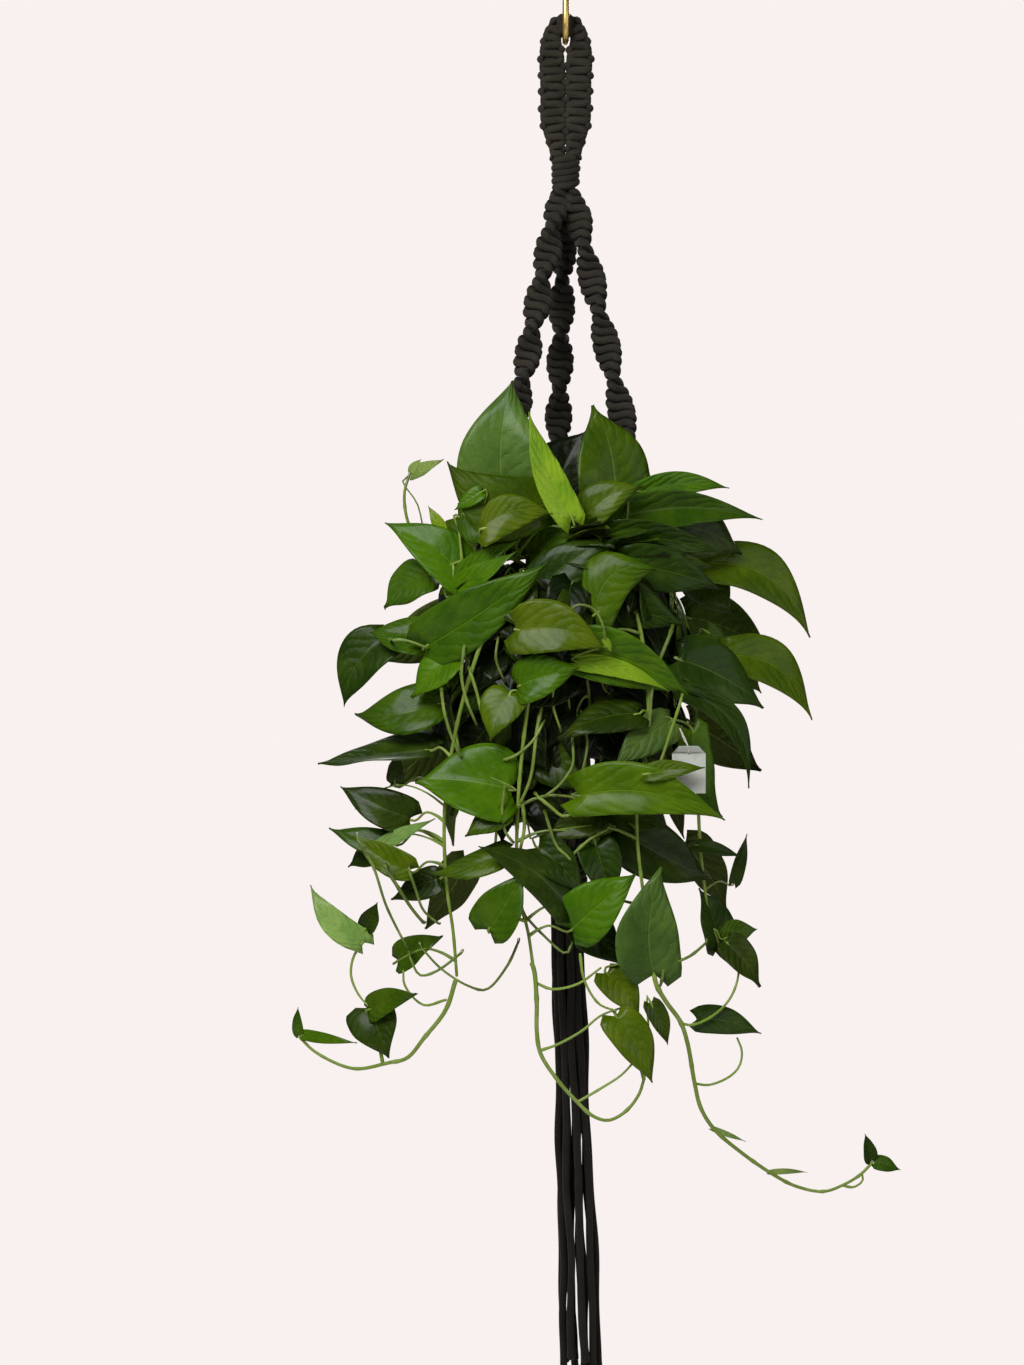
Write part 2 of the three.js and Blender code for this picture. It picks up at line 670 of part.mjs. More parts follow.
// Vines are made one after another, and each is cut clear of everything that is already there, of the
// places that the swinging ends reach, and of the arms all the way that the pot lifts.
function allVines(obstacles) {
  const made = {};
  const tools = [...obstacles];
  Object.entries(VINES).forEach(([name, data]) => {
    made[name] = mainBody(cut(vine(data), tools));
    const grown = vine(data, 0.8);
    const turns = data.swings ? [-VINE_SWING, -VINE_SWING / 2, 0, VINE_SWING / 2, VINE_SWING] : [0];
    turns.forEach((turn) => tools.push(swung(grown, data.stem[0], turn)));
  });
  return made;
}

// ---- tag: a blank card on a loop of thin string, hung over a leaf stalk ----
const TAG = { width: 27, height: 38, thick: 1, place: v(97, -132, -673) };

function tagCard() {
  const { width, height, thick, place } = TAG;
  const outline = new THREE.Shape();
  outline.moveTo(-width / 2, -height / 2);
  outline.lineTo(width / 2, -height / 2);
  outline.lineTo(width / 2, height / 2 - 6);
  outline.lineTo(width / 2 - 6, height / 2);
  outline.lineTo(-width / 2 + 6, height / 2);
  outline.lineTo(-width / 2, height / 2 - 6);
  outline.closePath();
  outline.holes.push(new THREE.Path().absarc(0, height / 2 - 5, 1.6, 0, Math.PI * 2, true));
  const card = new THREE.ExtrudeGeometry(outline, { depth: thick, bevelEnabled: false, curveSegments: 8 });
  return solidOf(card.translate(0, 0, -thick / 2).rotateX(Math.PI / 2).translate(place.x, place.y, place.z));
}

function tagString() {
  const top = TAG.place.clone().add(v(-7, 3, TAG.height / 2 + 14));
  const eye = TAG.place.clone().add(v(0, -2.4, TAG.height / 2 - 3));
  return roundTube([top, top.clone().lerp(eye, 0.5).add(v(1, 0, -1)), eye], 0.6, 6, 4);
}

// ---- the whole planter ----
const planter = new THREE.Group();

function addPiece(name, solid, material) {
  const mesh = new THREE.Mesh(geometryOf(solid), material);
  mesh.name = name;
  planter.add(mesh);
}

addPiece('ceiling_plate', ceilingPlate(), BRASS);
screwPlaces.forEach((place, i) => addPiece(`plate_screw_${i + 1}`, plateScrew(place), BRASS));
addPiece('hook', ceilingHook(), BRASS);
addPiece('hanging_loop', hangingLoop(), BLACK_CORD);
addPiece('top_collar', topCollar(), BLACK_CORD);
Object.entries(ARMS).forEach(([name, data]) => addPiece(name, arm(data), BLACK_CORD));

const armAngles = Object.values(ARMS).map(({ angle }) => angle);
armAngles.forEach((angle, i) => {
  addPiece(`net_upper_${2 * i + 1}`, netUpper(angle, -1), BLACK_CORD);
  addPiece(`net_upper_${2 * i + 2}`, netUpper(angle, 1), BLACK_CORD);
  addPiece(`net_knot_${i + 1}`, netKnot(angle + 60), BLACK_CORD);
  addPiece(`net_lower_${i + 1}`, netLower(angle + 60), BLACK_CORD);
});
addPiece('bottom_knot', bottomKnot(), BLACK_CORD);
for (let i = 0; i < TASSEL_CORDS; i += 1) {
  addPiece(`tassel_cord_${String(i + 1).padStart(2, '0')}`, tasselCord(i), BLACK_CORD);
}

addPiece('pot', pot(), POT_BLACK);
addPiece('soil', soil(), SOIL_BROWN);

const netSpace = armAngles.flatMap((angle) => [netUpper(angle, -1, 0.6), netUpper(angle, 1, 0.6), netKnot(angle + 60, 0.6)]);
const liftedPast = [0, POT_LIFT / 2, POT_LIFT];
const keptClear = [...Object.values(ARMS).map(armSpace), ...netSpace].flatMap((solid) =>
  liftedPast.map((lift) => moved(solid, 0, 0, -lift)),
);
const vines = allVines([...keptClear, potSpace(), tagCard(), tagString()]);
Object.entries(vines).forEach(([name, solid]) => addPiece(name, solid, LEAF_GREEN));
addPiece('tag', tagCard(), PAPER);
addPiece('tag_string', tagString(), PAPER);

export default planter;
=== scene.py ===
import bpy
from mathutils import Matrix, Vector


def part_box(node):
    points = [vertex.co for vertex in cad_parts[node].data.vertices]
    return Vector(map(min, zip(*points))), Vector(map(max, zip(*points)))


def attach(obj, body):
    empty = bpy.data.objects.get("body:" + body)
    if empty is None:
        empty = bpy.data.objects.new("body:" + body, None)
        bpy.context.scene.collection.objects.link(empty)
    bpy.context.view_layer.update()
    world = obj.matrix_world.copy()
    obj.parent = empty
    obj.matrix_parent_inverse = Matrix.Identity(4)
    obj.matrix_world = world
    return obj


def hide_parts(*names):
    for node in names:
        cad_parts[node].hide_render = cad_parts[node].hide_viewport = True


bl_info = {
    "name": "Hanging Macrame Planter",
    "version": (1, 0, 0),
    "blender": (4, 5, 0),
    "location": "3D View > Sidebar > Planter",
    "description": "A knotted cord hanger with a pot of trailing pothos, on a brass ceiling hook",
    "category": "Add Mesh",
}

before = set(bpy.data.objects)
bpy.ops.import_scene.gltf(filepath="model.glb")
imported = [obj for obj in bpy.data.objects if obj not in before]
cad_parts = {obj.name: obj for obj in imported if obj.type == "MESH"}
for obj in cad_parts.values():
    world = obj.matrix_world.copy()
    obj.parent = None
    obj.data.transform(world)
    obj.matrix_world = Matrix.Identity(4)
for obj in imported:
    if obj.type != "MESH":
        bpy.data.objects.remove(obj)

import math

import bpy
import numpy as np
from bpy.props import FloatProperty, FloatVectorProperty, IntProperty, PointerProperty
from bpy.types import Operator, Panel, PropertyGroup

MM = 0.001
FRONT = np.array([0, -1.0, 0])
UP = np.array([0, 0, 1.0])
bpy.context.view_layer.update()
POT_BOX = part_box("pot")
PLATE_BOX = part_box("ceiling_plate")


# ---- lines and places, in metres ----

def around(degrees, radius, z):
    """A point at an angle from the front (-Y), turning towards +X, and a distance from the hanger's axis."""
    angle = math.radians(degrees)
    return np.array([math.sin(angle) * radius, -math.cos(angle) * radius, z]) * MM


def mix(a, b, t):
    return a + (b - a) * t


def ease(t, low, high):
    s = np.clip((t - low) / (high - low), 0, 1)
    return s * s * (3 - 2 * s)


def unit(vectors):
    return vectors / np.maximum(np.linalg.norm(vectors, axis=-1, keepdims=True), 1e-12)


def lengths_along(line):
    return np.concatenate([[0], np.cumsum(np.linalg.norm(np.diff(line, axis=0), axis=1))])


def evenly(line, count):
    """The same line with points at even steps."""
    far = lengths_along(line)
    steps = np.linspace(0, far[-1], count)
    return np.stack([np.interp(steps, far, line[:, k]) for k in range(3)], axis=1)


def smooth_line(points, count):
    """A smooth line through all the points, with even steps."""
    p = np.asarray(points, float)
    ends = np.vstack([2 * p[0] - p[1], p, 2 * p[-1] - p[-2]])
    s = np.linspace(0, 1, 16, endpoint=False)[:, None]
    dense = []
    for a, b, c, d in zip(ends, ends[1:], ends[2:], ends[3:]):
        first, second, third = [max(np.linalg.norm(q - r) ** 0.5, 1e-6) for q, r in ((b, a), (c, b), (d, c))]
        leave = ((b - a) / first - (c - a) / (first + second) + (c - b) / second) * second
        reach = ((c - b) / second - (d - b) / (second + third) + (d - c) / third) * second
        dense.append(
            (2 * s**3 - 3 * s**2 + 1) * b + (s**3 - 2 * s**2 + s) * leave
            + (3 * s**2 - 2 * s**3) * c + (s**3 - s**2) * reach
        )
    dense.append(p[-1:])
    return evenly(np.vstack(dense), count)


def directions(line):
    return unit(np.gradient(line, axis=0))


def squared_to(vectors, along):
    """The vectors with the part that runs along taken away."""
    return unit(vectors - along * np.sum(vectors * along, axis=-1, keepdims=True))


# ---- surfaces ----

class Surface:
    """Closed shapes with their UVs and tints, which become one piece."""

    def __init__(self):
        self.points, self.faces, self.uvs, self.tints, self.slots = [], [], [], [], []
        self.count = 0

    def add(self, points, faces, uvs, tint, slot=0):
        """faces and uvs are lists of arrays; tint is a colour and a share of underside, once or per point."""
        self.points.append(points)
        for corners, places in zip(faces, uvs):
            self.faces.append(corners + self.count)
            self.uvs.append(places)
            self.slots.append(np.full(len(corners), slot))
        self.tints.append(np.broadcast_to(np.asarray(tint, float), (len(points), 4)))
        self.count += len(points)

    def made(self, name, *finishes):
        mesh = bpy.data.meshes.new(name)
        points = np.vstack(self.points)
        corners = np.concatenate([f.ravel() for f in self.faces])
        sizes = np.concatenate([np.full(len(f), f.shape[1]) for f in self.faces])
        mesh.vertices.add(len(points))
        mesh.vertices.foreach_set("co", points.ravel())
        mesh.loops.add(len(corners))
        mesh.loops.foreach_set("vertex_index", corners.astype(np.int32))
        mesh.polygons.add(len(sizes))
        starts = np.concatenate([[0], np.cumsum(sizes)[:-1]])
        mesh.polygons.foreach_set("loop_start", starts.astype(np.int32))
        mesh.polygons.foreach_set("material_index", np.concatenate(self.slots).astype(np.int32))
        mesh.update(calc_edges=True)
        uv = mesh.uv_layers.new(name="surface")
        uv.data.foreach_set("uv", np.concatenate([u.reshape(-1) for u in self.uvs]))
        tints = np.vstack(self.tints)
        colour = mesh.color_attributes.new("tint", "FLOAT_COLOR", "POINT")
        opaque = np.hstack([tints[:, :3], np.ones((len(tints), 1))])
        colour.data.foreach_set("color", opaque.ravel())
        under = mesh.attributes.new("underside", "FLOAT", "POINT")
        under.data.foreach_set("value", np.ascontiguousarray(tints[:, 3]))
        mesh.polygons.foreach_set("use_smooth", np.ones(len(sizes), bool))
        for finish in finishes:
            mesh.materials.append(finish)
        piece = bpy.data.objects.new(name, mesh)
        bpy.context.scene.collection.objects.link(piece)
        return piece


# A strand's rounded end: how far it goes on, how big it is there, and where its last point lies, as shares.
END_REACH, END_SIZE, END_POINT = 0.55, 0.62, 0.4


def add_strand(surface, line, out, thick, wide, tint=(0, 0, 0, 0), slot=0, sides=10):
    """A closed strand along a line: thick is its half size towards out, wide its half size across."""
    count = len(line)
    thick = np.broadcast_to(np.asarray(thick, float), count)
    wide = np.broadcast_to(np.asarray(wide, float), count)
    along = directions(line)
    out = squared_to(np.broadcast_to(out, line.shape), along)
    reach = [END_REACH * thick[0], END_REACH * thick[-1]]
    line = np.vstack([line[0] - along[0] * reach[0], line, line[-1] + along[-1] * reach[1]])
    along = np.vstack([along[:1], along, along[-1:]])
    out = np.vstack([out[:1], out, out[-1:]])
    thick = np.concatenate([[thick[0] * END_SIZE], thick, [thick[-1] * END_SIZE]])
    wide = np.concatenate([[wide[0] * END_SIZE], wide, [wide[-1] * END_SIZE]])
    side = np.cross(along, out)
    angles = np.arange(sides) * 2 * math.pi / sides
    ring = (
        line[:, None]
        + out[:, None] * (np.cos(angles)[None, :, None] * thick[:, None, None])
        + side[:, None] * (np.sin(angles)[None, :, None] * wide[:, None, None])
    )
    rings = count + 2
    root = line[:1] - along[:1] * reach[0] * END_POINT
    end = line[-1:] + along[-1:] * reach[1] * END_POINT
    points = np.vstack([ring.reshape(-1, 3), root, end])
    i, j = np.meshgrid(np.arange(rings - 1), np.arange(sides), indexing="ij")
    i, j = i.ravel(), j.ravel()
    k = (j + 1) % sides
    quads = np.stack([i * sides + j, i * sides + k, (i + 1) * sides + k, (i + 1) * sides + j], axis=1)
    far = lengths_along(line) / (2 * math.pi * float(np.mean(wide)))
    quad_uv = np.stack([j, far[i], j + 1, far[i], j + 1, far[i + 1], j, far[i + 1]], axis=1).reshape(-1, 4, 2)
    quad_uv = quad_uv / np.array([sides, 1])
    j = np.arange(sides)
    k = (j + 1) % sides
    first, last = rings * sides, rings * sides + 1
    caps = np.vstack([
        np.stack([np.full(sides, first), k, j], axis=1),
        np.stack([np.full(sides, last), (rings - 1) * sides + j, (rings - 1) * sides + k], axis=1),
    ])
    cap_uv = np.zeros((2 * sides, 3, 2))
    cap_uv[:, :, 0] = np.concatenate([j, j])[:, None] / sides
    cap_uv[sides:, :, 1] = far[-1]
    surface.add(points, [quads, caps], [quad_uv, cap_uv], tint, slot)


# ---- finishes ----

class Wire:
    """One socket of a finish. Sums, products and powers of wires add their own Math nodes."""

    def __init__(self, finish, socket):
        self.finish, self.socket = finish, socket

    def math(self, operation, *values):
        return self.finish.node("ShaderNodeMath", {"operation": operation}, dict(enumerate(values)))

    def __add__(self, other):
        return self.math("ADD", self, other)

    __radd__ = __add__

    def __sub__(self, other):
        return self.math("SUBTRACT", self, other)

    def __rsub__(self, other):
        return self.math("SUBTRACT", other, self)

    def __mul__(self, other):
        return self.math("MULTIPLY", self, other)

    __rmul__ = __mul__

    def __truediv__(self, other):
        return self.math("DIVIDE", self, other)

    def __pow__(self, other):
        return self.math("POWER", self, other)

    def size(self):
        return self.math("ABSOLUTE", self)

    def sine(self):
        return self.math("SINE", self)

    def above(self, low, high):
        """0 below low, 1 above high, and smooth between them."""
        return self.finish.node(
            "ShaderNodeMapRange", {"interpolation_type": "SMOOTHSTEP"},
            {"Value": self, "From Min": low, "From Max": high}, "Result",
        )


class Finish:
    """A material round one Principled shader. What is the same all over is set on its own sockets."""

    def __init__(self, name, **uniform):
        self.material = bpy.data.materials.new(name)
        self.material.use_nodes = True
        self.tree = self.material.node_tree
        self.tree.nodes.clear()
        self.shader = self.tree.nodes.new("ShaderNodeBsdfPrincipled")
        output = self.tree.nodes.new("ShaderNodeOutputMaterial")
        self.tree.links.new(self.shader.outputs[0], output.inputs[0])
        for socket, value in uniform.items():
            self.shader.inputs[socket.replace("_", " ").title().replace("Ior", "IOR")].default_value = value

    def node(self, kind, settings=None, inputs=None, output=0):
        node = self.tree.nodes.new(kind)
        for key, value in (settings or {}).items():
            if key == "stops":
                ramp = node.color_ramp.elements
                while len(ramp) < len(value):
                    ramp.new(0.5)
                for stop, (place, colour) in zip(ramp, value):
                    stop.position, stop.color = place, colour
            else:
                setattr(node, key, value)
        for key, value in (inputs or {}).items():
            self.feed(node.inputs[key], value)
        return Wire(self, node.outputs[output])

    def feed(self, socket, value):
        if isinstance(value, Wire):
            self.tree.links.new(value.socket, socket)
        else:
            socket.default_value = value

    def set(self, name, value):
        self.feed(self.shader.inputs[name], value)

    def place(self):
        return self.node("ShaderNodeTexCoord", output="Object")

    def uv(self):
        return self.node("ShaderNodeUVMap", {"uv_map": "surface"})

    def parts(self, vector):
        split = self.node("ShaderNodeSeparateXYZ", inputs={0: vector})
        return [Wire(self, split.socket.node.outputs[k]) for k in range(3)]

    def joined(self, x, y, z=0.0):
        return self.node("ShaderNodeCombineXYZ", inputs={0: x, 1: y, 2: z})

    def noise(self, vector, scale, detail=4.0, rough=0.55):
        inputs = {"Vector": vector, "Scale": scale, "Detail": detail, "Roughness": rough}
        return self.node("ShaderNodeTexNoise", inputs=inputs)

    def blend(self, share, first, second, how="MIX"):
        """Sockets 6 and 7 of the Mix node are its two colours, and its output 2 is the mixed colour."""
        settings = {"data_type": "RGBA", "blend_type": how}
        return self.node("ShaderNodeMix", settings, {0: share, 6: first, 7: second}, 2)

    def relief(self, height, strength, depth):
        inputs = {"Height": height, "Strength": strength, "Distance": depth}
        self.set("Normal", self.node("ShaderNodeBump", inputs=inputs))


def shade(red, green, blue):
    """A linear colour from the usual 0 to 255 values."""
    def linear(value):
        value /= 255
        return value / 12.92 if value <= 0.04045 else ((value + 0.055) / 1.055) ** 2.4
    return (linear(red), linear(green), linear(blue), 1.0)


def cord_finish(settings, painted_shade_factor=1.0):
    """Matte black macrame cord: twisted fibres along it, a little fuzz, and painted shade that darkens the
    sides of its knotted cords, where the bars press together.
    """
    cord = Finish("black_cord", roughness=0.9, sheen_weight=0.06, sheen_roughness=0.5, specular_ior_level=0.2)
    across, along, _ = cord.parts(cord.uv())
    painted_shade_flag = cord.node("ShaderNodeAttribute", {"attribute_name": "tint"}, output="Fac")
    tone = cord.noise(cord.place(), 55.0, 3.0)
    fibre = cord.noise(cord.joined(across * 26.0 + along * 4.0, along * 3.2), 1.0, 3.0, 0.7)
    strands = (across * 8.0 * 2 * math.pi + along * 7.0).sine() * 0.5 + 0.5
    # Painted shade: where the tint flags it, the sides of the cord, away from its outer face, are painted near
    # black.
    outer = ((across * 2 * math.pi + math.pi / 2).sine() * 0.5 + 0.5).above(0.55, 0.97)
    outside_painted_shade = 1 - painted_shade_flag * (1 - outer)
    worn = (tone * 0.6 + fibre * 0.5).above(0.38, 0.72)
    # A factor below 1 makes a darker copy of the same cord: painted shade.
    light = tuple(part * painted_shade_factor for part in settings.cord_colour)
    dark = (light[0] * 0.5, light[1] * 0.5, light[2] * 0.46, 1.0)
    black = (light[0] * 0.07, light[1] * 0.07, light[2] * 0.06, 1.0)
    cord.set("Base Color", cord.blend(outside_painted_shade, black, cord.blend(worn, dark, light)))
    cord.set("Roughness", 0.96 - 0.12 * fibre)
    cord.relief(fibre * 0.7 + strands * 0.3, 0.75, settings.cord_diameter * 0.06)
    return cord.material


def brass_finish(settings):
    """Polished brass that has dulled a little, with fine drawing marks."""
    brass = Finish("brass", metallic=1.0)
    x, y, z = brass.parts(brass.place())
    marks = brass.noise(brass.joined(x * 900.0, y * 900.0, z * 60.0), 1.0, 2.0)
    dull = brass.noise(brass.place(), 90.0, 4.0)
    bright = tuple(settings.brass_colour)
    brown = (bright[0] * 0.55, bright[1] * 0.46, bright[2] * 0.35, 1.0)
    brass.set("Base Color", brass.blend(dull.above(0.48, 0.72), bright, brown))
    brass.set("Roughness", 0.2 + 0.22 * dull + 0.1 * marks)
    brass.relief(marks, 0.25, 0.0002)
    return brass.material


def pot_finish():
    """Moulded matte black plastic with faint turning rings, dust and a few water marks."""
    plastic = Finish("black_pot_plastic", specular_ior_level=0.4)
    place = plastic.place()
    _, _, z = plastic.parts(place)
    grain = plastic.noise(place, 900.0, 2.0)
    dust = plastic.noise(place, 38.0, 5.0)
    rings = (z * 2 * math.pi / 0.0024).sine()
    plastic.set("Base Color", plastic.blend(dust.above(0.5, 0.8), shade(22, 23, 21), shade(48, 46, 40)))
    plastic.set("Roughness", 0.5 + 0.3 * dust)
    plastic.relief(grain * 0.6 + rings * 0.2, 0.4, 0.0003)
    return plastic.material


def soil_finish():
    """Damp potting soil: dark crumbs with paler bark and grit."""
    soil = Finish("potting_soil", roughness=0.95)
    place = soil.place()
    crumbs = soil.noise(place, 320.0, 6.0, 0.7)
    grit = soil.node("ShaderNodeTexVoronoi", inputs={"Vector": place, "Scale": 420.0})
    dark = soil.blend(crumbs.above(0.35, 0.7), shade(24, 16, 10), shade(74, 52, 34))
    soil.set("Base Color", soil.blend(1 - grit.above(0.04, 0.16), dark, shade(176, 168, 150)))
    soil.relief(crumbs, 1.0, 0.0015)
    return soil.material


def leaf_finish():
    """A waxy pothos leaf: its tint, which for many leaves holds painted light and shade, soft clouds, faint
    side veins, and a dull grey-green underside.
    """
    leaf = Finish("pothos_leaf", specular_ior_level=0.06, coat_roughness=0.16, coat_ior=1.36)
    across, along, _ = leaf.parts(leaf.uv())
    tint = leaf.node("ShaderNodeAttribute", {"attribute_name": "tint"}, output="Color")
    under = leaf.node("ShaderNodeAttribute", {"attribute_name": "underside"}, output="Fac")
    place = leaf.place()
    half = ((across - 0.5) * 2.0).size()
    clouds = leaf.noise(place, 38.0, 3.0)
    warp = leaf.noise(place, 95.0, 2.0)
    fine = leaf.noise(place, 520.0, 3.0)
    quilt = leaf.noise(place, 240.0, 2.0)
    # Side veins leave the midrib and sweep on towards the tip, none of them quite even.
    sweep = along * 6.5 - half ** 1.3 * 2.3 + warp * 1.1
    ripple = (sweep * math.pi).sine().size()
    vein = (1 - ripple.above(0.0, 0.16)) * (1 - half.above(0.6, 0.92))
    midrib = 1 - half.above(0.01, 0.045)
    paler = leaf.blend(1.0, tint, (0.035, 0.05, 0.004, 1.0), "ADD")
    deeper = leaf.blend(1.0, tint, (0.5, 0.66, 0.5, 1.0), "MULTIPLY")
    upper = leaf.blend(clouds.above(0.44, 0.66) * 0.6, tint, deeper)
    upper = leaf.blend((1 - clouds).above(0.52, 0.68) * 0.28 + fine.above(0.52, 0.8) * 0.12, upper, paler)
    upper = leaf.blend(vein * 0.16, upper, paler)
    upper = leaf.blend(midrib * 0.75, upper, paler)
    back = leaf.blend(0.5, tint, shade(76, 88, 40))
    back = leaf.blend(vein * 0.3 + midrib * 0.6, back, shade(112, 126, 62))
    edge = half.above(0.965, 1.0) * (1 - under)
    leaf.set("Base Color", leaf.blend(edge * 0.5, leaf.blend(under, upper, back), paler))
    leaf.set("Roughness", 0.36 + 0.16 * warp + 0.22 * under)
    leaf.set("Coat Weight", 0.2 - 0.19 * under)
    leaf.relief(ripple * 0.7 + warp * 0.7 + quilt * 0.35 - midrib * 0.7, 0.6, 0.0016)
    return leaf.material


def stem_finish():
    """A smooth green vine stem, paler and yellower in places, with thin lengthwise ridges and small scars."""
    stem = Finish("vine_stem", specular_ior_level=0.35, coat_weight=0.1, coat_roughness=0.3)
    tint = stem.node("ShaderNodeAttribute", {"attribute_name": "tint"}, output="Color")
    across, along, _ = stem.parts(stem.uv())
    blotch = stem.noise(stem.place(), 60.0, 4.0)
    ridges = (across * 6 * 2 * math.pi).sine()
    scars = stem.noise(stem.joined(across * 3.0, along * 1.1), 2.0, 2.0)
    green = stem.blend(blotch.above(0.42, 0.7) * 0.55, tint, shade(140, 160, 76))
    stem.set("Base Color", stem.blend(scars.above(0.68, 0.75) * 0.5, green, shade(84, 74, 40)))
    stem.set("Roughness", 0.36 + 0.2 * blotch)
    stem.relief(ridges * 0.4 + scars * 0.6, 0.4, 0.0004)
    return stem.material


def paper_finish():
    """Thick uncoated card, painted grey for the shade it hangs in, with visible fibres and softly darker
    patches.
    """
    paper = Finish("tag_card", roughness=0.9, sheen_weight=0.1)
    place = paper.place()
    fibres = paper.noise(place, 700.0, 5.0, 0.7)
    patch_noise = paper.noise(place, 60.0, 3.0)
    darker_patches = patch_noise.above(0.4, 0.75) * 0.5 + fibres * 0.2
    # Both greys are painted shade over a white card; the darker patches fall at random.
    paper.set("Base Color", paper.blend(darker_patches, shade(186, 190, 182), shade(146, 150, 142)))
    paper.relief(fibres, 0.5, 0.0002)
    return paper.material


def string_finish():
    """Thin twisted cotton string."""
    string = Finish("cotton_string", roughness=0.9, sheen_weight=0.2)
    across, along, _ = string.parts(string.uv())
    twist = ((across * 2.0 + along * 0.9) * 2 * math.pi).sine() * 0.5 + 0.5
    string.set("Base Color", string.blend(twist, shade(150, 146, 132), shade(214, 210, 198)))
    string.relief(twist, 0.8, 0.0003)
    return string.material


def floor_finish():
    """A pale floor with the faintest unevenness of tone."""
    floor = Finish("studio_floor", roughness=0.8)
    soft = floor.noise(floor.place(), 1.2, 2.0)
    floor.set("Base Color", floor.blend(soft, shade(232, 226, 223), shade(238, 231, 228)))
    return floor.material


FINISHES = {}


def finish(name, make, *settings):
    """Each finish is made once and shared by the pieces that have it."""
    if name not in FINISHES:
        FINISHES[name] = make(*settings)
    return FINISHES[name]


def settle(piece, body, slot, *nodes):
    """A finished piece rides on its body and stands for its nodes. The slot is not used."""
    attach(piece, body)
    if nodes:
        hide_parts(*nodes)
    return piece


# ---- pieces shaped as by hand ----

DOUBLED = 0.02 * MM  # points nearer than this are one point

def on_its_own():
    """Object mode, with nothing selected."""
    if bpy.context.mode != "OBJECT":
        bpy.ops.object.mode_set(mode="OBJECT")
    bpy.ops.object.select_all(action="DESELECT")


def started(add, name, **sizes):
    """A primitive, alone in the selection, with its place in its mesh."""
    on_its_own()
    add(**sizes)
    piece = bpy.context.object
    piece.name = piece.data.name = name
    bpy.ops.object.transform_apply(location=True, rotation=True, scale=True)
    return piece


def mended():
    """In edit mode, doubled points are joined and the normals turned outwards; then back to object mode."""
    bpy.ops.mesh.select_all(action="SELECT")
    bpy.ops.mesh.remove_doubles(threshold=DOUBLED)
    bpy.ops.mesh.normals_make_consistent(inside=False)
    bpy.ops.object.mode_set(mode="OBJECT")


def turned(name, profile, steps=64):
    """A solid turned about the upright axis from radius and height pairs, both in millimetres."""
    (radius, height), *others = profile
    piece = started(bpy.ops.mesh.primitive_plane_add, name, size=MM, location=(radius * MM, 0, height * MM))
    bpy.ops.object.mode_set(mode="EDIT")
    bpy.ops.mesh.select_all(action="SELECT")
    bpy.ops.mesh.merge(type="CENTER")
    for next_radius, next_height in others:
        step = ((next_radius - radius) * MM, 0, (next_height - height) * MM)
        bpy.ops.mesh.extrude_vertices_move(TRANSFORM_OT_translate={"value": step})
        radius, height = next_radius, next_height
    bpy.ops.mesh.select_all(action="SELECT")
    bpy.ops.mesh.spin(steps=steps, angle=2 * math.pi, center=(0, 0, 0), axis=(0, 0, 1))
    mended()
    return piece


def picked(piece):
    """The piece alone in the selection, and active."""
    on_its_own()
    piece.select_set(True)
    bpy.context.view_layer.objects.active = piece


def modified(piece, kind, **settings):
    """One modifier, set and applied."""
    picked(piece)
    modifier = piece.modifiers.new(kind.title(), kind)
    for key, value in settings.items():
        setattr(modifier, key, value)
    bpy.ops.object.modifier_apply(modifier=modifier.name)
    return piece


def bored(piece, cutter):
    """The cutter's shape is taken out of the piece, and the cutter is thrown away."""
    modified(piece, "BOOLEAN", operation="DIFFERENCE", object=cutter, solver="EXACT")
    bpy.data.objects.remove(cutter)
    return piece


def smoothed(piece, degrees=40):
    """Smooth shading, with edges sharper than the angle kept crisp."""
    picked(piece)
    bpy.ops.object.shade_smooth_by_angle(angle=math.radians(degrees))
    return piece


def shifted(piece, offset):
    picked(piece)
    piece.location = offset
    bpy.ops.object.transform_apply(location=True, rotation=False, scale=False)
    return piece


# ---- knotted cord ----

PAINTED_SHADE_SIDES = (1, 1, 1, 0)  # a tint that flags painted shade on the sides of a cord in its knots and wraps, where the bars press together


def bar_advance(t):
    """Cords run nearly level across the front and back, and climb at the edges."""
    return t + 0.9 * np.sin(2 * math.pi * t) / (2 * math.pi)


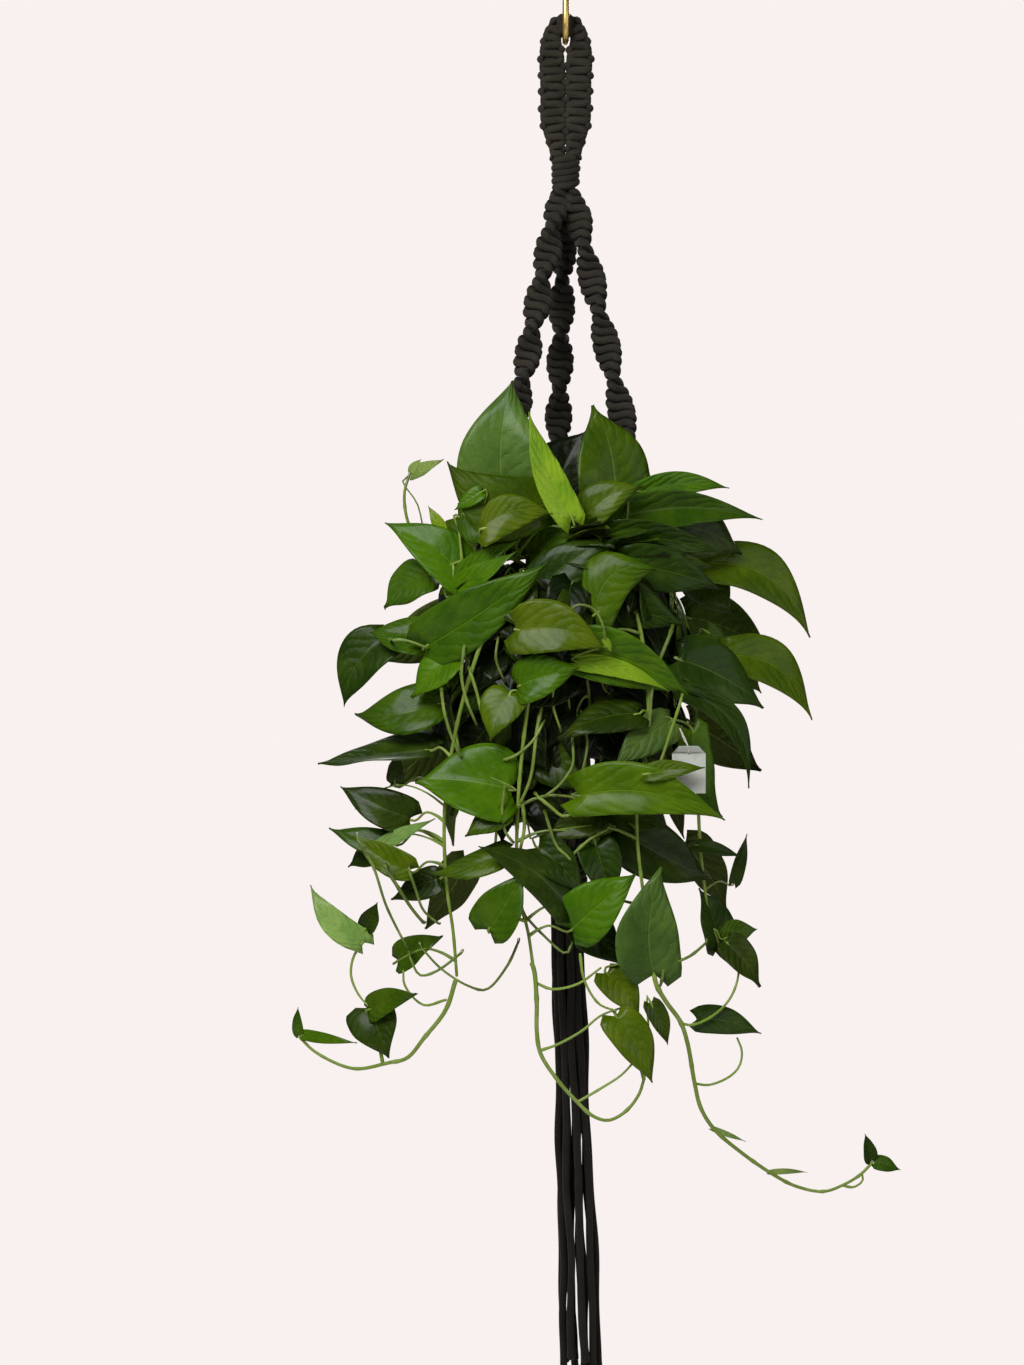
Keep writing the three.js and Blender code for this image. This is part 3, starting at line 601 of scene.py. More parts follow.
class Band:
    """A flat run of knots along a line: its middle, its wide axis and its front axis at each place."""

    def __init__(self, line, wide_axis, front_axis, half_wide, half_thick):
        self.line = line
        self.far = lengths_along(line)
        self.wide_axis = wide_axis
        self.front_axis = front_axis
        self.half_wide = np.broadcast_to(np.asarray(half_wide, float), len(line))
        self.half_thick = np.broadcast_to(np.asarray(half_thick, float), len(line))

    def at(self, s):
        def follow(values):
            if values.ndim == 1:
                return np.interp(s, self.far, values)
            return np.stack([np.interp(s, self.far, values[:, k]) for k in range(3)], axis=1)
        return (follow(self.line), unit(follow(self.wide_axis)), unit(follow(self.front_axis)),
                follow(self.half_wide), follow(self.half_thick))

    def knotted(self, surface, pitch, style, seed, flat=2.5 * MM):
        """Two working cords tied round the others: half knots that spiral, or square knots.

        flat is the half thickness of the flattened cord.
        """
        rng = np.random.default_rng(seed)
        length = self.far[-1]
        bars = max(2, round(length / pitch))
        pitch = length / bars
        t = np.linspace(0, bars, bars * 14 + 1)
        uneven = np.interp(t, np.arange(bars + 1), rng.normal(0, 0.05, bars + 1))
        full = np.interp(t, np.arange(bars + 1), rng.normal(1, 0.045, bars + 1))
        s = np.clip((bar_advance(t) + uneven) * pitch, 0, length)
        middle, wide_axis, front_axis, half_wide, half_thick = self.at(s)
        a, b = half_wide - flat * 0.9, half_thick - flat * 0.9
        near = np.abs(t - np.round(t))
        edge = np.exp(-((near / 0.17) ** 2))
        for k in (0, 1):
            c, q = np.cos(math.pi * (t + k)), np.sin(math.pi * (t + k))
            if style == "spiral":
                x, w = c, np.sign(q) * np.abs(q) ** 0.5
            elif k == 0:
                x, w = c * (1 - 0.16 * edge), 0.3 + 0.7 * np.abs(q) ** 0.6
            else:
                x, w = c * (1 + 0.06 * edge), -(np.abs(q) ** 0.5) * (1 - edge) + 0.85 * edge
            line = middle + wide_axis * (x * a)[:, None] + front_axis * (w * b)[:, None]
            out = wide_axis * (x / a)[:, None] + front_axis * (w / b)[:, None]
            tight = ease(s, 0, pitch) * ease(length - s, 0, pitch)
            thick = flat * full * (0.8 + 0.2 * tight)
            add_strand(surface, line, out, thick, pitch * 0.49 * full, PAINTED_SHADE_SIDES, sides=14)
        reach = np.linspace(0, length, max(12, bars))
        middle, wide_axis, front_axis, half_wide, half_thick = self.at(reach)
        add_strand(surface, middle, front_axis, half_thick * 0.62, half_wide * 0.78, PAINTED_SHADE_SIDES, sides=12)


LEAN = 0.4 * MM  # how far each turn of a wrapping rises from one side to the other


def wrapped(surface, bottom, top, radius, turns, cord_radius, seed=3):
    """Cord wound round and round, its ends tucked in, over a gathered core."""
    rng = np.random.default_rng(seed)
    t = np.linspace(0, turns, turns * 28 + 1)
    level = (top - bottom - 2 * cord_radius) / (turns - 1)
    climb = np.clip(np.floor(t) + ease(t % 1.0, 0.62, 0.98), 0, turns - 1)
    z = bottom + cord_radius + level * climb
    tuck = 1 - 0.45 * (1 - ease(t, 0, 0.35)) - 0.45 * ease(t, turns - 0.35, turns)
    uneven = np.interp(t, np.arange(turns * 3 + 1) / 3, rng.normal(0, 0.0003, turns * 3 + 1))
    ring = (radius - cord_radius + uneven) * tuck
    angle = 2 * math.pi * t + math.pi * 0.75
    line = np.stack([np.sin(angle) * ring, -np.cos(angle) * ring, z + LEAN * np.sin(angle)], axis=1)
    out = np.stack([np.sin(angle), -np.cos(angle), np.zeros(len(t))], axis=1)
    add_strand(surface, line, out, cord_radius * 0.95, cord_radius * 1.05, PAINTED_SHADE_SIDES, sides=14)
    core = np.stack([np.zeros(9), np.zeros(9), np.linspace(bottom + 0.002, top - 0.002, 9)], axis=1)
    inside = radius - 1.7 * cord_radius
    add_strand(surface, core, FRONT, inside, inside, sides=20)


HANGER_TURN = 6
ARMS = {  # angle from the front, height of one bulge, and the drop of half a turn
    "arm_left": (HANGER_TURN - 60, -243, 43),
    "arm_right": (HANGER_TURN + 60, -265, 55.5),
    "arm_back": (HANGER_TURN + 180, -330, 46),
}
ARM_ANGLES = [angle for angle, _, _ in ARMS.values()]
HALF_GAP = 60  # from an arm to the net's knot beside it

# Places on the hanger, as distance from its axis and height.
ARM_TOP, ARM_FOOT = (6.6, -192.6), (82, -509)
KNOT_TOP, KNOT_FOOT = (72.5, -582.5), (69.5, -611.5)
FOUR_CORDS_ROUTE = [(69.2, -610), (68.5, -614.4), (66, -636), (62, -661), (48.5, -690), (25, -724),
                    (9.6, -739.6), (8.5, -747)]

# The pair of cords from an arm's foot to a knot, as angle from the arm, distance from the axis and height.
PAIR_ROUTE = [(4.4, 82, -508), (5.2, 82, -512.4), (10, 80.5, -523), (24, 78.4, -540), (42, 75.5, -560),
              (53.4, 71.5, -579.6), (54.4, 71.5, -585)]

TASSEL_CORDS = 12
TASSEL_INNER = 3
TASSEL_TOP, TASSEL_END = -781, -1176
TASSEL_DRIFT = 13.5  # how far its lower end hangs to the right
TASSEL_SPREAD = 1.45
TASSEL_SWAY = 1.1
TASSEL_POINTS = 48


def tassel_line(i):
    """Three cords in the middle and nine round them, spreading and drifting a little to one side."""
    inner = i < TASSEL_INNER
    angle = 120 * i + 20 if inner else 40 * (i - TASSEL_INNER) + 8
    top_radius = 4 if inner else 10.4
    drop = 9 * math.sin(i * 2.4)
    knots = []
    for t in np.linspace(0, 1, 6):
        radius = mix(top_radius, top_radius * TASSEL_SPREAD, t**1.3)
        place = around(angle, radius, mix(TASSEL_TOP, TASSEL_END + drop, t))
        knots.append(place + np.array([TASSEL_DRIFT * MM * t, 0, 0]))
    line = smooth_line(knots, TASSEL_POINTS)
    rng = np.random.default_rng(40 + i)
    t = np.linspace(0, 1, TASSEL_POINTS)
    for axis in (0, 1):
        wave = rng.uniform(1.2, 2.6), rng.uniform(3.0, 6.0)
        turn = rng.uniform(0, 6.28, 2)
        sway = np.sin(wave[0] * 2 * math.pi * t + turn[0]) + 0.5 * np.sin(wave[1] * 2 * math.pi * t + turn[1])
        line[:, axis] += TASSEL_SWAY * MM * sway * ease(t, 0.0, 0.3)
    top = np.linspace(line[0] + 6 * MM * UP, line[0], 3, endpoint=False)
    return np.vstack([top, line])


# ---- pothos ----

TONES = {
    # bright, fresh, mid and dark are one green at falling brightness: partly the leaves' own variation, partly
    # painted light and shade, each leaf toned lighter or darker as it is lit or shaded.
    "bright": shade(67, 99, 2),
    "mid": shade(52, 78, 2),
    "fresh": shade(59, 87, 2),
    "olive": shade(67, 89, 4),
    "dark": shade(36, 54, 4),
    "light": shade(120, 146, 74),
    "new": shade(126, 150, 30),
    "glossy": shade(60, 92, 6),
    # sheen: a paler grey-green that paints a leaf's sheen into its colour: painted reflection.
    "sheen": shade(70, 96, 36),
    # deep: a nearly black green, painted shade for the leaves inside the plant.
    "deep": shade(15, 25, 3),
}
STEM_YOUNG = shade(116, 142, 44)
STEM_OLD = shade(60, 76, 20)

# Millimetres and degrees. A leaf is (base, tip, width, turn, tone), and then its habit where that isn't left
# to chance: fold is how far its halves rise, droop how far it hangs over, bow how far its midrib curves
# sideways, and stalk is False where a shoot ends in it. Shoots are the thin branches of a trailing vine.
VINES = {
    "trailing_vine_left": dict(
        body="vine_end_left",
        stem=[(-91, -97, -846), (-99, -98, -870), (-117, -97, -894), (-131, -96, -911), (-147, -95, -916),
              (-176, -95, -922), (-208, -95, -910), (-221, -95, -899)],
        leaves=[
            ((-163, -98, -873), (-123, -106, -857), 25, 0, "mid"),
            ((-163, -95, -871), (-147, -101, -911), 44, 10, "dark"),
            ((-222, -95, -897), (-223, -98, -873), 10, 0, "mid"),
            ((-219, -96, -896), (-173, -101, -900), 10, 0, "bright"),
            ((-168, -96, -818), (-212, -102, -771), 24, 10, "light", {"bow": -0.12, "stalk": False}),
            ((-166, -94, -806), (-156, -97, -784), 18, 0, "dark", {"stalk": False}),
        ],
        shoots=[
            [(-168, -96, -817), (-176, -97, -830), (-178, -97, -845), (-172, -97, -860), (-160, -97, -873)],
            [(-99, -97, -862), (-118, -95, -867), (-133, -100, -851), (-134, -103, -839)],
            [(-166, -95, -806), (-172, -96, -818)],
        ],
    ),
    "trailing_vine_centre": dict(
        body="vine_end_centre",
        stem=[(-29, -114, -830), (-27, -114, -836), (-25, -114, -862), (-25, -112, -884), (-22, -110, -903),
              (-8, -108, -925), (8, -106, -943), (20, -105, -954), (33, -104, -958), (47, -103, -951),
              (58, -103, -937), (62, -102, -925)],
        leaves=[
            ((39, -118, -872), (68, -124, -925), 34, 0, "olive"),
            ((67, -116, -862), (81, -119, -896), 17, 0, "dark"),
        ],
        shoots=[
            [(-25, -113, -846), (-13, -111, -851), (8, -110, -847), (27, -108, -834)],
            [(10, -120, -822), (13, -121, -842), (25, -121, -862), (39, -119, -868)],
            [(-23, -110, -901), (-8, -108, -896), (12, -106, -885), (27, -105, -873), (46, -104, -866)],
            [(8, -106, -943), (27, -105, -932), (44, -104, -921), (56, -104, -908)],
        ],
    ),
    "trailing_vine_right": dict(
        body="vine_end_right",
        stem=[(70, -108, -840), (72, -108, -848), (80, -107, -862), (92, -105, -879), (98, -103, -897),
              (104, -101, -930), (109, -100, -950), (120, -99, -968), (142, -98, -988), (169, -97, -1008),
              (190, -96, -1020), (214, -95, -1026), (230, -95, -1022), (246, -95, -1014), (256, -95, -1005)],
        leaves=[
            ((106, -96, -878), (160, -100, -892), 25, 0, "dark", {"stalk": False}),
            ((131, -97, -816), (159, -100, -852), 27, 0, "dark", {"stalk": False}),
            ((256, -95, -1003), (250, -97, -980), 14, 0, "dark"),
            ((259, -95, -1004), (281, -97, -1012), 14, 0, "mid"),
            ((119, -98, -968), (147, -99, -980), 5, 0, "light"),
            ((168, -96, -1007), (200, -97, -1009), 5, 0, "light"),
        ],
        shoots=[
            [(92, -105, -880), (102, -103, -882), (120, -100, -875), (134, -98, -862), (141, -97, -843),
             (139, -97, -829), (131, -97, -816)],
            [(104, -101, -930), (116, -99, -932), (134, -97, -926), (142, -96, -918), (144, -96, -906),
             (140, -96, -895)],
            [(230, -95, -1022), (240, -95, -1024), (248, -95, -1019), (247, -95, -1012)],
        ],
    ),
    "vine_crown_left": dict(
        stem=[(-16, -14, -540), (-26, -30, -516), (-40, -54, -503), (-62, -74, -499), (-88, -80, -504),
              (-112, -74, -514)],
        leaves=[
            ((-52, -62, -458), (-45, -54, -354), 72, 8, "sheen", {"fold": 0.3, "bow": -0.05}),
            ((-14, -82, -456), (-98, -88, -422), 58, -8, "mid", {"fold": 0.15, "droop": 0.4, "bow": -0.22}),
            ((4, -90, -470), (-31, -90, -382), 27, 0, "new", {"fold": 0.5, "droop": 0.1, "bow": -0.05}),
            ((-34, -58, -499), (23, -82, -468), 38, 10, "glossy", {"fold": 0.25, "bow": -0.06}),
            ((-69, -92, -478), (-12, -96, -466), 34, 10, "olive", {"fold": 0.15, "bow": -0.16}),
            ((-84, -88, -466), (-52, -94, -488), 26, 10, "mid", {"bow": 0.1}),
            ((-92, -84, -520), (-38, -90, -487), 18, 0, "bright", {"fold": 0.5}),
            ((-70, -90, -448), (-92, -94, -462), 15, 0, "bright"),
            # Two nearly black deep leaves behind the crown: painted shade.
            ((-26, -4, -500), (14, 4, -436), 56, 0, "deep"),
            ((0, -20, -520), (34, -12, -446), 56, 0, "deep"),
            ((-90, -64, -466), (-38, -78, -500), 34, 10, "mid", {"bow": -0.12}),
            ((-97, -82, -532), (-41, -94, -496), 24, 0, "bright"),
            ((-82, -76, -520), (-150, -84, -471), 42, 15, "bright", {"fold": 0.25, "bow": 0.06}),
            ((-114, -62, -513), (-151, -76, -541), 44, 10, "glossy"),
            ((-129, -50, -430), (-102, -52, -418), 13, 0, "light"),
            ((-101, -47, -482), (-115, -47, -456), 12, 0, "new"),
        ],
    ),
    "vine_crown_right": dict(
        stem=[(18, 6, -540), (34, 4, -514), (56, 2, -498), (84, -4, -489), (110, -12, -498)],
        leaves=[
            ((-10, 8, -446), (18, 16, -390), 60, 0, "deep"),
            ((113, -40, -505), (206, -52, -565), 46, 5, "olive", {"fold": 0.3, "droop": 0.5, "bow": -0.2}),
            ((104, -12, -508), (140, -22, -545), 48, 0, "dark"),
        ],
    ),
    "vine_left": dict(
        stem=[(-36, -8, -540), (-60, -12, -516), (-86, -18, -526), (-98, -44, -560), (-98, -72, -610),
              (-88, -88, -660), (-82, -92, -700)],
        leaves=[
            ((-113, -72, -566), (-163, -82, -561), 38, 15, "mid"),
            ((-148, -66, -566), (-185, -76, -623), 46, -10, "dark", {"droop": 0.5, "bow": 0.14}),
            ((-95, -92, -582), (-128, -102, -615), 38, 10, "bright"),
            ((-116, -94, -574), (-16, -108, -506), 48, 25, "mid", {"fold": 0.4, "droop": 0.4}),
            ((-104, -84, -620), (-175, -92, -629), 46, 8, "mid", {"droop": 0.4, "bow": -0.1}),
            ((-100, -72, -614), (-90, -84, -672), 38, 40, "deep"),
        ],
    ),
    "vine_lower_left": dict(
        stem=[(-22, -42, -540), (-30, -60, -518), (-40, -78, -518), (-62, -93, -552), (-88, -98, -630),
              (-100, -98, -710), (-98, -98, -770), (-93, -98, -806), (-90, -97, -842)],
        leaves=[
            ((-113, -92, -658), (-206, -98, -670), 48, 45, "dark"),
            ((-129, -88, -715), (-187, -96, -689), 34, 10, "dark"),
            ((-141, -92, -685), (-139, -98, -660), 19, 0, "dark"),
            ((-160, -88, -696), (-175, -92, -708), 12, 0, "dark"),
            ((-46, -106, -690), (-124, -116, -684), 66, 5, "bright", {"fold": 0.45, "bow": 0.05}),
            ((-144, -82, -736), (-197, -88, -724), 24, 10, "mid"),
            ((-158, -96, -740), (-108, -106, -714), 14, 0, "light"),
            ((-129, -100, -757), (-175, -104, -729), 25, 0, "olive"),
            ((-148, -62, -738), (-182, -66, -757), 30, 0, "dark"),
            ((-105, -80, -764), (-145, -84, -782), 28, 0, "dark"),
            ((-139, -88, -832), (-102, -92, -810), 28, 0, "mid"),
        ],
    ),
    "vine_front": dict(
        stem=[(0, -40, -540), (-3, -66, -517), (-8, -84, -518), (-20, -99, -546), (-32, -106, -620),
              (-40, -108, -700), (-40, -110, -770), (-32, -113, -805), (-28, -114, -832)],
        leaves=[
            ((-40, -110, -606), (9, -121, -591), 38, 5, "bright"),
            ((-42, -112, -560), (30, -128, -576), 46, 10, "olive", {"bow": -0.1}),
            ((-46, -110, -611), (-63, -116, -650), 36, 0, "olive", {"fold": 0.15}),
            ((-50, -108, -741), (-111, -112, -758), 28, 15, "olive", {"bow": -0.08}),
            ((-50, -115, -706), (-83, -120, -727), 25, 0, "mid"),
            ((-64, -116, -803), (-36, -124, -755), 42, 0, "fresh"),
            ((0, -118, -784), (-72, -121, -735), 36, 5, "dark", {"bow": 0.08}),
            ((26, -104, -708), (-18, -108, -730), 30, 0, "dark"),
            ((22, -108, -734), (34, -112, -782), 34, 0, "dark"),
            ((3, -115, -802), (54, -124, -757), 46, 5, "bright"),
        ],
    ),
    "vine_front_right": dict(
        stem=[(22, -42, -540), (30, -58, -519), (40, -76, -516), (56, -92, -546), (66, -99, -630),
              (56, -104, -710), (62, -106, -780), (70, -108, -843)],
        leaves=[
            ((8, -102, -574), (98, -114, -613), 46, 25, "fresh", {"fold": 0.6, "droop": 0.4, "bow": -0.08}),
            ((8, -112, -586), (82, -118, -610), 17, 0, "new", {"fold": 0.15, "bow": -0.06}),
            ((30, -70, -484), (128, -80, -496), 30, 30, "dark", {"bow": -0.06}),
            ((36, -64, -494), (122, -74, -508), 30, 35, "dark"),
            ((44, -80, -508), (126, -90, -526), 40, 25, "dark"),
            ((20, -86, -520), (96, -96, -556), 44, 20, "dark"),
            ((-30, -84, -536), (42, -94, -486), 44, 5, "dark", {"bow": -0.08}),
            ((40, -50, -450), (22, -40, -373), 64, 5, "mid", {"fold": 0.3}),
            ((12, -74, -471), (62, -78, -442), 34, 0, "olive", {"fold": 0.25, "bow": -0.1}),
            ((60, -56, -446), (136, -52, -441), 22, 20, "bright", {"bow": -0.07, "droop": 0.2}),
            ((26, -62, -472), (164, -64, -467), 34, 20, "mid", {"fold": 0.5, "droop": 0.3, "bow": -0.08}),
            ((84, -48, -474), (147, -54, -496), 50, 15, "dark", {"bow": -0.1}),
            ((22, -106, -548), (75, -112, -512), 48, 0, "fresh", {"fold": 0.05, "droop": 0.2, "bow": -0.3}),
            ((84, -108, -634), (38, -116, -670), 34, 10, "sheen", {"fold": 0.15}),
            ((62, -138, -676), (109, -162, -671), 17, 0, "olive", {"droop": 0.2}),
            ((8, -122, -694), (125, -170, -713), 44, 15, "bright",
             {"fold": 0.25, "droop": 0.35, "bow": -0.1}),
            ((57, -108, -628), (-8, -117, -648), 38, 30, "dark", {"bow": 0.08}),
            ((30, -92, -702), (83, -96, -722), 30, 0, "dark"),
            ((40, -84, -722), (120, -88, -765), 54, 0, "dark"),
            ((-24, -110, -736), (14, -118, -774), 32, 0, "dark"),
            ((70, -108, -840), (76, -120, -752), 56, 0, "sheen", {"fold": 0.3, "bow": -0.1}),
            ((10, -96, -792), (45, -100, -832), 38, 0, "dark"),
            ((32, -106, -838), (58, -111, -874), 30, 0, "olive"),
            ((102, -100, -642), (127, -104, -713), 34, 0, "mid", {"fold": 0.4, "bow": 0.12}),
        ],
    ),
    "vine_right": dict(
        stem=[(40, 4, -540), (66, 6, -516), (90, 2, -528), (104, -24, -570), (107, -62, -640),
              (110, -80, -740), (118, -80, -806)],
        leaves=[
            ((96, -88, -610), (150, -94, -690), 24, 10, "dark", {"bow": -0.2, "droop": 0.2}),
            ((92, -80, -584), (163, -90, -624), 52, 5, "dark", {"fold": 0.2, "bow": -0.05}),
            ((131, -62, -580), (206, -74, -634), 44, 5, "olive", {"fold": 0.3, "droop": 0.5, "bow": -0.18}),
            ((138, -40, -585), (165, -36, -612), 26, 0, "olive"),
            ((116, -50, -560), (138, -52, -576), 18, 0, "mid"),
            ((107, -90, -736), (143, -94, -746), 12, 0, "dark"),
            ((138, -85, -768), (149, -89, -728), 13, 0, "dark"),
            ((129, -82, -814), (158, -86, -807), 22, 0, "mid"),
            ((126, -79, -820), (109, -80, -772), 36, 0, "dark"),
            ((130, -77, -818), (161, -82, -855), 28, 0, "dark"),
        ],
    ),
    "vine_back_left": dict(
        behind=True,
        stem=[(-20, 26, -540), (-36, 60, -515), (-50, 84, -519), (-62, 98, -552), (-64, 100, -620),
              (-56, 100, -690), (-60, 98, -750)],
        leaves=[
            ((-60, 62, -500), (-128, 70, -474), 50, 10, "mid"),
            ((-96, 84, -548), (-160, 84, -585), 48, 0, "dark"),
            ((-28, 106, -570), (-10, 118, -632), 52, 10, "mid"),
            ((-96, 98, -640), (-150, 96, -692), 50, 10, "dark"),
            ((-32, 110, -690), (6, 118, -742), 48, 0, "bright"),
            ((-84, 98, -760), (-120, 96, -815), 42, 0, "dark"),
        ],
    ),
    "vine_back_right": dict(
        behind=True,
        stem=[(24, 26, -540), (46, 58, -514), (60, 80, -518), (72, 92, -548), (78, 96, -610),
              (72, 98, -680), (80, 96, -730)],
        leaves=[
            ((62, 52, -494), (132, 62, -470), 52, 10, "dark"),
            ((104, 80, -546), (176, 82, -580), 50, 0, "mid"),
            ((46, 104, -588), (24, 116, -652), 50, 10, "bright"),
            ((108, 92, -636), (168, 92, -678), 50, 0, "dark"),
            ((50, 108, -716), (34, 116, -776), 44, 0, "mid"),
            ((104, 96, -742), (140, 94, -800), 44, 10, "dark"),
        ],
    ),
}


POT_REACH = 72  # past this the foliage curves back round the pot


def bowed(point, behind):
    """The foliage curves round the pot: points far to a side lie further back."""
    x, y, z = point
    back = 0.45 * max(0, abs(x) - POT_REACH)
    return np.array([x, y - back if behind else y + back, z]) * MM


# Half the leaf's width, as a share of the widest, at shares of its length from the stalk's end to the tip.
LEAF_OUTLINE = [(0, 0.5), (0.04, 0.77), (0.11, 0.94), (0.2, 1.0), (0.34, 0.985), (0.48, 0.89), (0.62, 0.7),
                (0.75, 0.46), (0.85, 0.25), (0.93, 0.1), (1, 0.0)]


def leaf_pattern(columns=14, rows=20):
    """The flat heart-shaped leaf: each point's side, length and width shares, and its lobes' setback."""
    knots = np.array([(a, b, 0.0) for a, b in LEAF_OUTLINE])
    outline = smooth_line(knots, 160)
    v = np.linspace(0, 1, rows + 1) ** 0.86
    width = np.interp(v, outline[:, 0], outline[:, 1])
    width[-1] = 0.012
    u = np.linspace(-1, 1, columns + 1)
    u, v = np.meshgrid(u, v)
    lobes = -0.11 * np.abs(u) ** 1.35 * (1 - v) ** 4.5
    return u, v, width[:, None] * np.ones_like(u), lobes


PATTERN = leaf_pattern()
SMALL_PATTERN = leaf_pattern(8, 10)


def add_leaf(surface, base, tip, width, looks, tint, rng, thick, fold=None, droop=None, bow=None,
             pattern=PATTERN):
    """One leaf from base to tip: folded along its midrib, drooping, and a little wavy at its margin."""
    u, v, share, lobes = pattern
    long = np.linalg.norm(tip - base)
    fold = rng.uniform(0.16, 0.42) if fold is None else fold
    droop = rng.uniform(0.15, 0.6) if droop is None else droop
    wave, twist = rng.uniform(0.01, 0.035) * width, rng.uniform(-0.35, 0.35)
    skew = rng.uniform(0.92, 1.08)
    x = u * share * width / 2 * np.where(u < 0, skew, 2 - skew)
    y = (v + lobes) * long
    z = fold * (np.sqrt(x**2 + (0.06 * width) ** 2) - 0.06 * width)
    z -= 0.10 * width * np.abs(u) ** 2.2 * rng.uniform(0.2, 1.2)
    z += wave * np.abs(u) ** 2 * np.sin(2 * math.pi * rng.uniform(1.2, 2.2) * v + rng.uniform(0, 6.28) + u)
    turn = twist * (v - 0.3)
    x, z = x * np.cos(turn) - z * np.sin(turn), x * np.sin(turn) + z * np.cos(turn)
    bend = droop * np.clip(y / long, 0, 1)
    y, z = y * (1 - 0.16 * bend**2), z - long * 0.5 * bend * np.clip(y / long, 0, 1)
    middle = np.clip(y / long, 0, 1)
    bow = rng.uniform(-0.06, 0.06) if bow is None else bow
    x = x + bow * long * 4 * middle * (1 - middle)
    reach = np.array([x[-1].mean(), y[-1].mean(), z[-1].mean()])
    along = unit(tip - base)
    side = unit(np.cross(along, looks))
    face = np.cross(side, along)
    # Turned and stretched in its own axes so that the drooped tip comes to the right place.
    to_tip = unit(reach)
    across = unit(np.cross(to_tip, UP))
    local_up = np.cross(across, to_tip)
    points = np.stack([x, y, z], axis=-1).reshape(-1, 3) * (long / np.linalg.norm(reach))
    ahead, sideways, up = points @ to_tip, points @ across, points @ local_up
    top = base + np.outer(sideways, side) + np.outer(ahead, along) + np.outer(up, face)
    rows, columns = u.shape
    grid = top.reshape(rows, columns, 3)
    normal = unit(np.cross(np.gradient(grid, axis=1), np.gradient(grid, axis=0)).reshape(-1, 3) + face * 1e-7)
    if np.mean(normal @ face) < 0:
        normal = -normal
    thin = thick * (0.35 + 0.65 * (1 - np.abs(u).reshape(-1) ** 4))
    bottom = top - normal * thin[:, None]
    count = rows * columns
    i, j = np.meshgrid(np.arange(rows - 1), np.arange(columns - 1), indexing="ij")
    a = (i * columns + j).ravel()
    upper = np.stack([a, a + 1, a + columns + 1, a + columns], axis=1)
    rim = np.concatenate([
        np.arange(columns), np.arange(1, rows) * columns + columns - 1,
        (rows - 1) * columns + np.arange(columns - 2, -1, -1), np.arange(rows - 2, 0, -1) * columns,
    ])
    after = np.roll(rim, -1)
    border = np.stack([after, rim, rim + count, after + count], axis=1)
    uv = np.stack([(u + 1) / 2, v], axis=-1).reshape(-1, 2)
    uv = np.vstack([uv, uv])
    faces = np.vstack([upper, upper[:, ::-1] + count, border])
    middle = int(a[len(a) // 2])
    corner = grid.reshape(-1, 3)[[middle, middle + 1, middle + columns + 1]]
    if np.dot(np.cross(corner[1] - corner[0], corner[2] - corner[0]), normal[middle]) < 0:
        faces = faces[:, ::-1]
    tints = np.empty((2 * count, 4))
    tints[:, :3] = tint[:3]
    tints[:count, 3], tints[count:, 3] = 0, 1
    surface.add(np.vstack([top, bottom]), [faces], [uv[faces]], tints, 0)
    return face


def add_stalk(surface, start, towards, base, face, tint, radius, arch=0.16):
    """A leaf stalk leaves the stem, arches up and bends into the leaf's base."""
    far = np.linalg.norm(base - start)
    rise = arch * far * UP
    middle = mix(start, base, 0.5) + rise + face * 0.05 * far
    into = base + towards * min(6 * MM, 0.3 * far)
    before = base - towards * 0.1 * far - face * MM
    line = smooth_line([start, mix(start, middle, 0.45) + rise * 0.25, middle, before, into], 14)
    t = np.linspace(0, 1, 14)
    thick = radius * (1.25 - 0.45 * ease(t, 0, 0.35) + 0.15 * ease(t, 0.75, 0.9) - 0.5 * ease(t, 0.9, 1.0))
    add_strand(surface, line, face, thick, thick, tint, 1, sides=7)


STEM_STEP = 4 * MM
STEM_JOINTS = 36 * MM  # from one swollen joint to the next


def add_stem(surface, points, radius, rng, taper=0.35, young=0.5):
    """A tapering stem with swollen joints, greener and paler the younger it is."""
    far = lengths_along(np.asarray(points))[-1]
    count = max(10, int(far / STEM_STEP))
    line = smooth_line(points, count)
    t = np.linspace(0, 1, count)
    joints = (t * far / STEM_JOINTS + rng.uniform(0, 1)) % 1.0
    swell = np.exp(-((np.minimum(joints, 1 - joints) / 0.05) ** 2))
    thick = radius * (1 - taper * t) * (1 + 0.28 * swell)
    along = directions(line)
    sideways = np.where(np.abs(along[:, 1:2]) > 0.85, np.array([[1.0, 0, 0]]), np.array([[0, -1.0, 0]]))
    share = np.clip(young + 0.5 * t, 0, 1)
    tint = np.zeros((8 * (count + 2) + 2, 4))
    tint[:, :3] = np.array(mix(np.array(STEM_OLD), np.array(STEM_YOUNG), float(np.mean(share))))[:3]
    add_strand(surface, line, sideways, thick, thick, tint, 1, sides=8)
    return line


def tinted(tone, rng):
    """A leaf's colour: its tone, partly painted light and shade, a little lighter or darker, yellower or bluer.
    """
    colour = np.array(TONES[tone])
    colour[:3] *= rng.uniform(0.85, 1.15)
    colour[0] *= rng.uniform(0.85, 1.15)
    return colour


THIN_LEAF = 16  # a leaf narrower than this has a thinner stalk


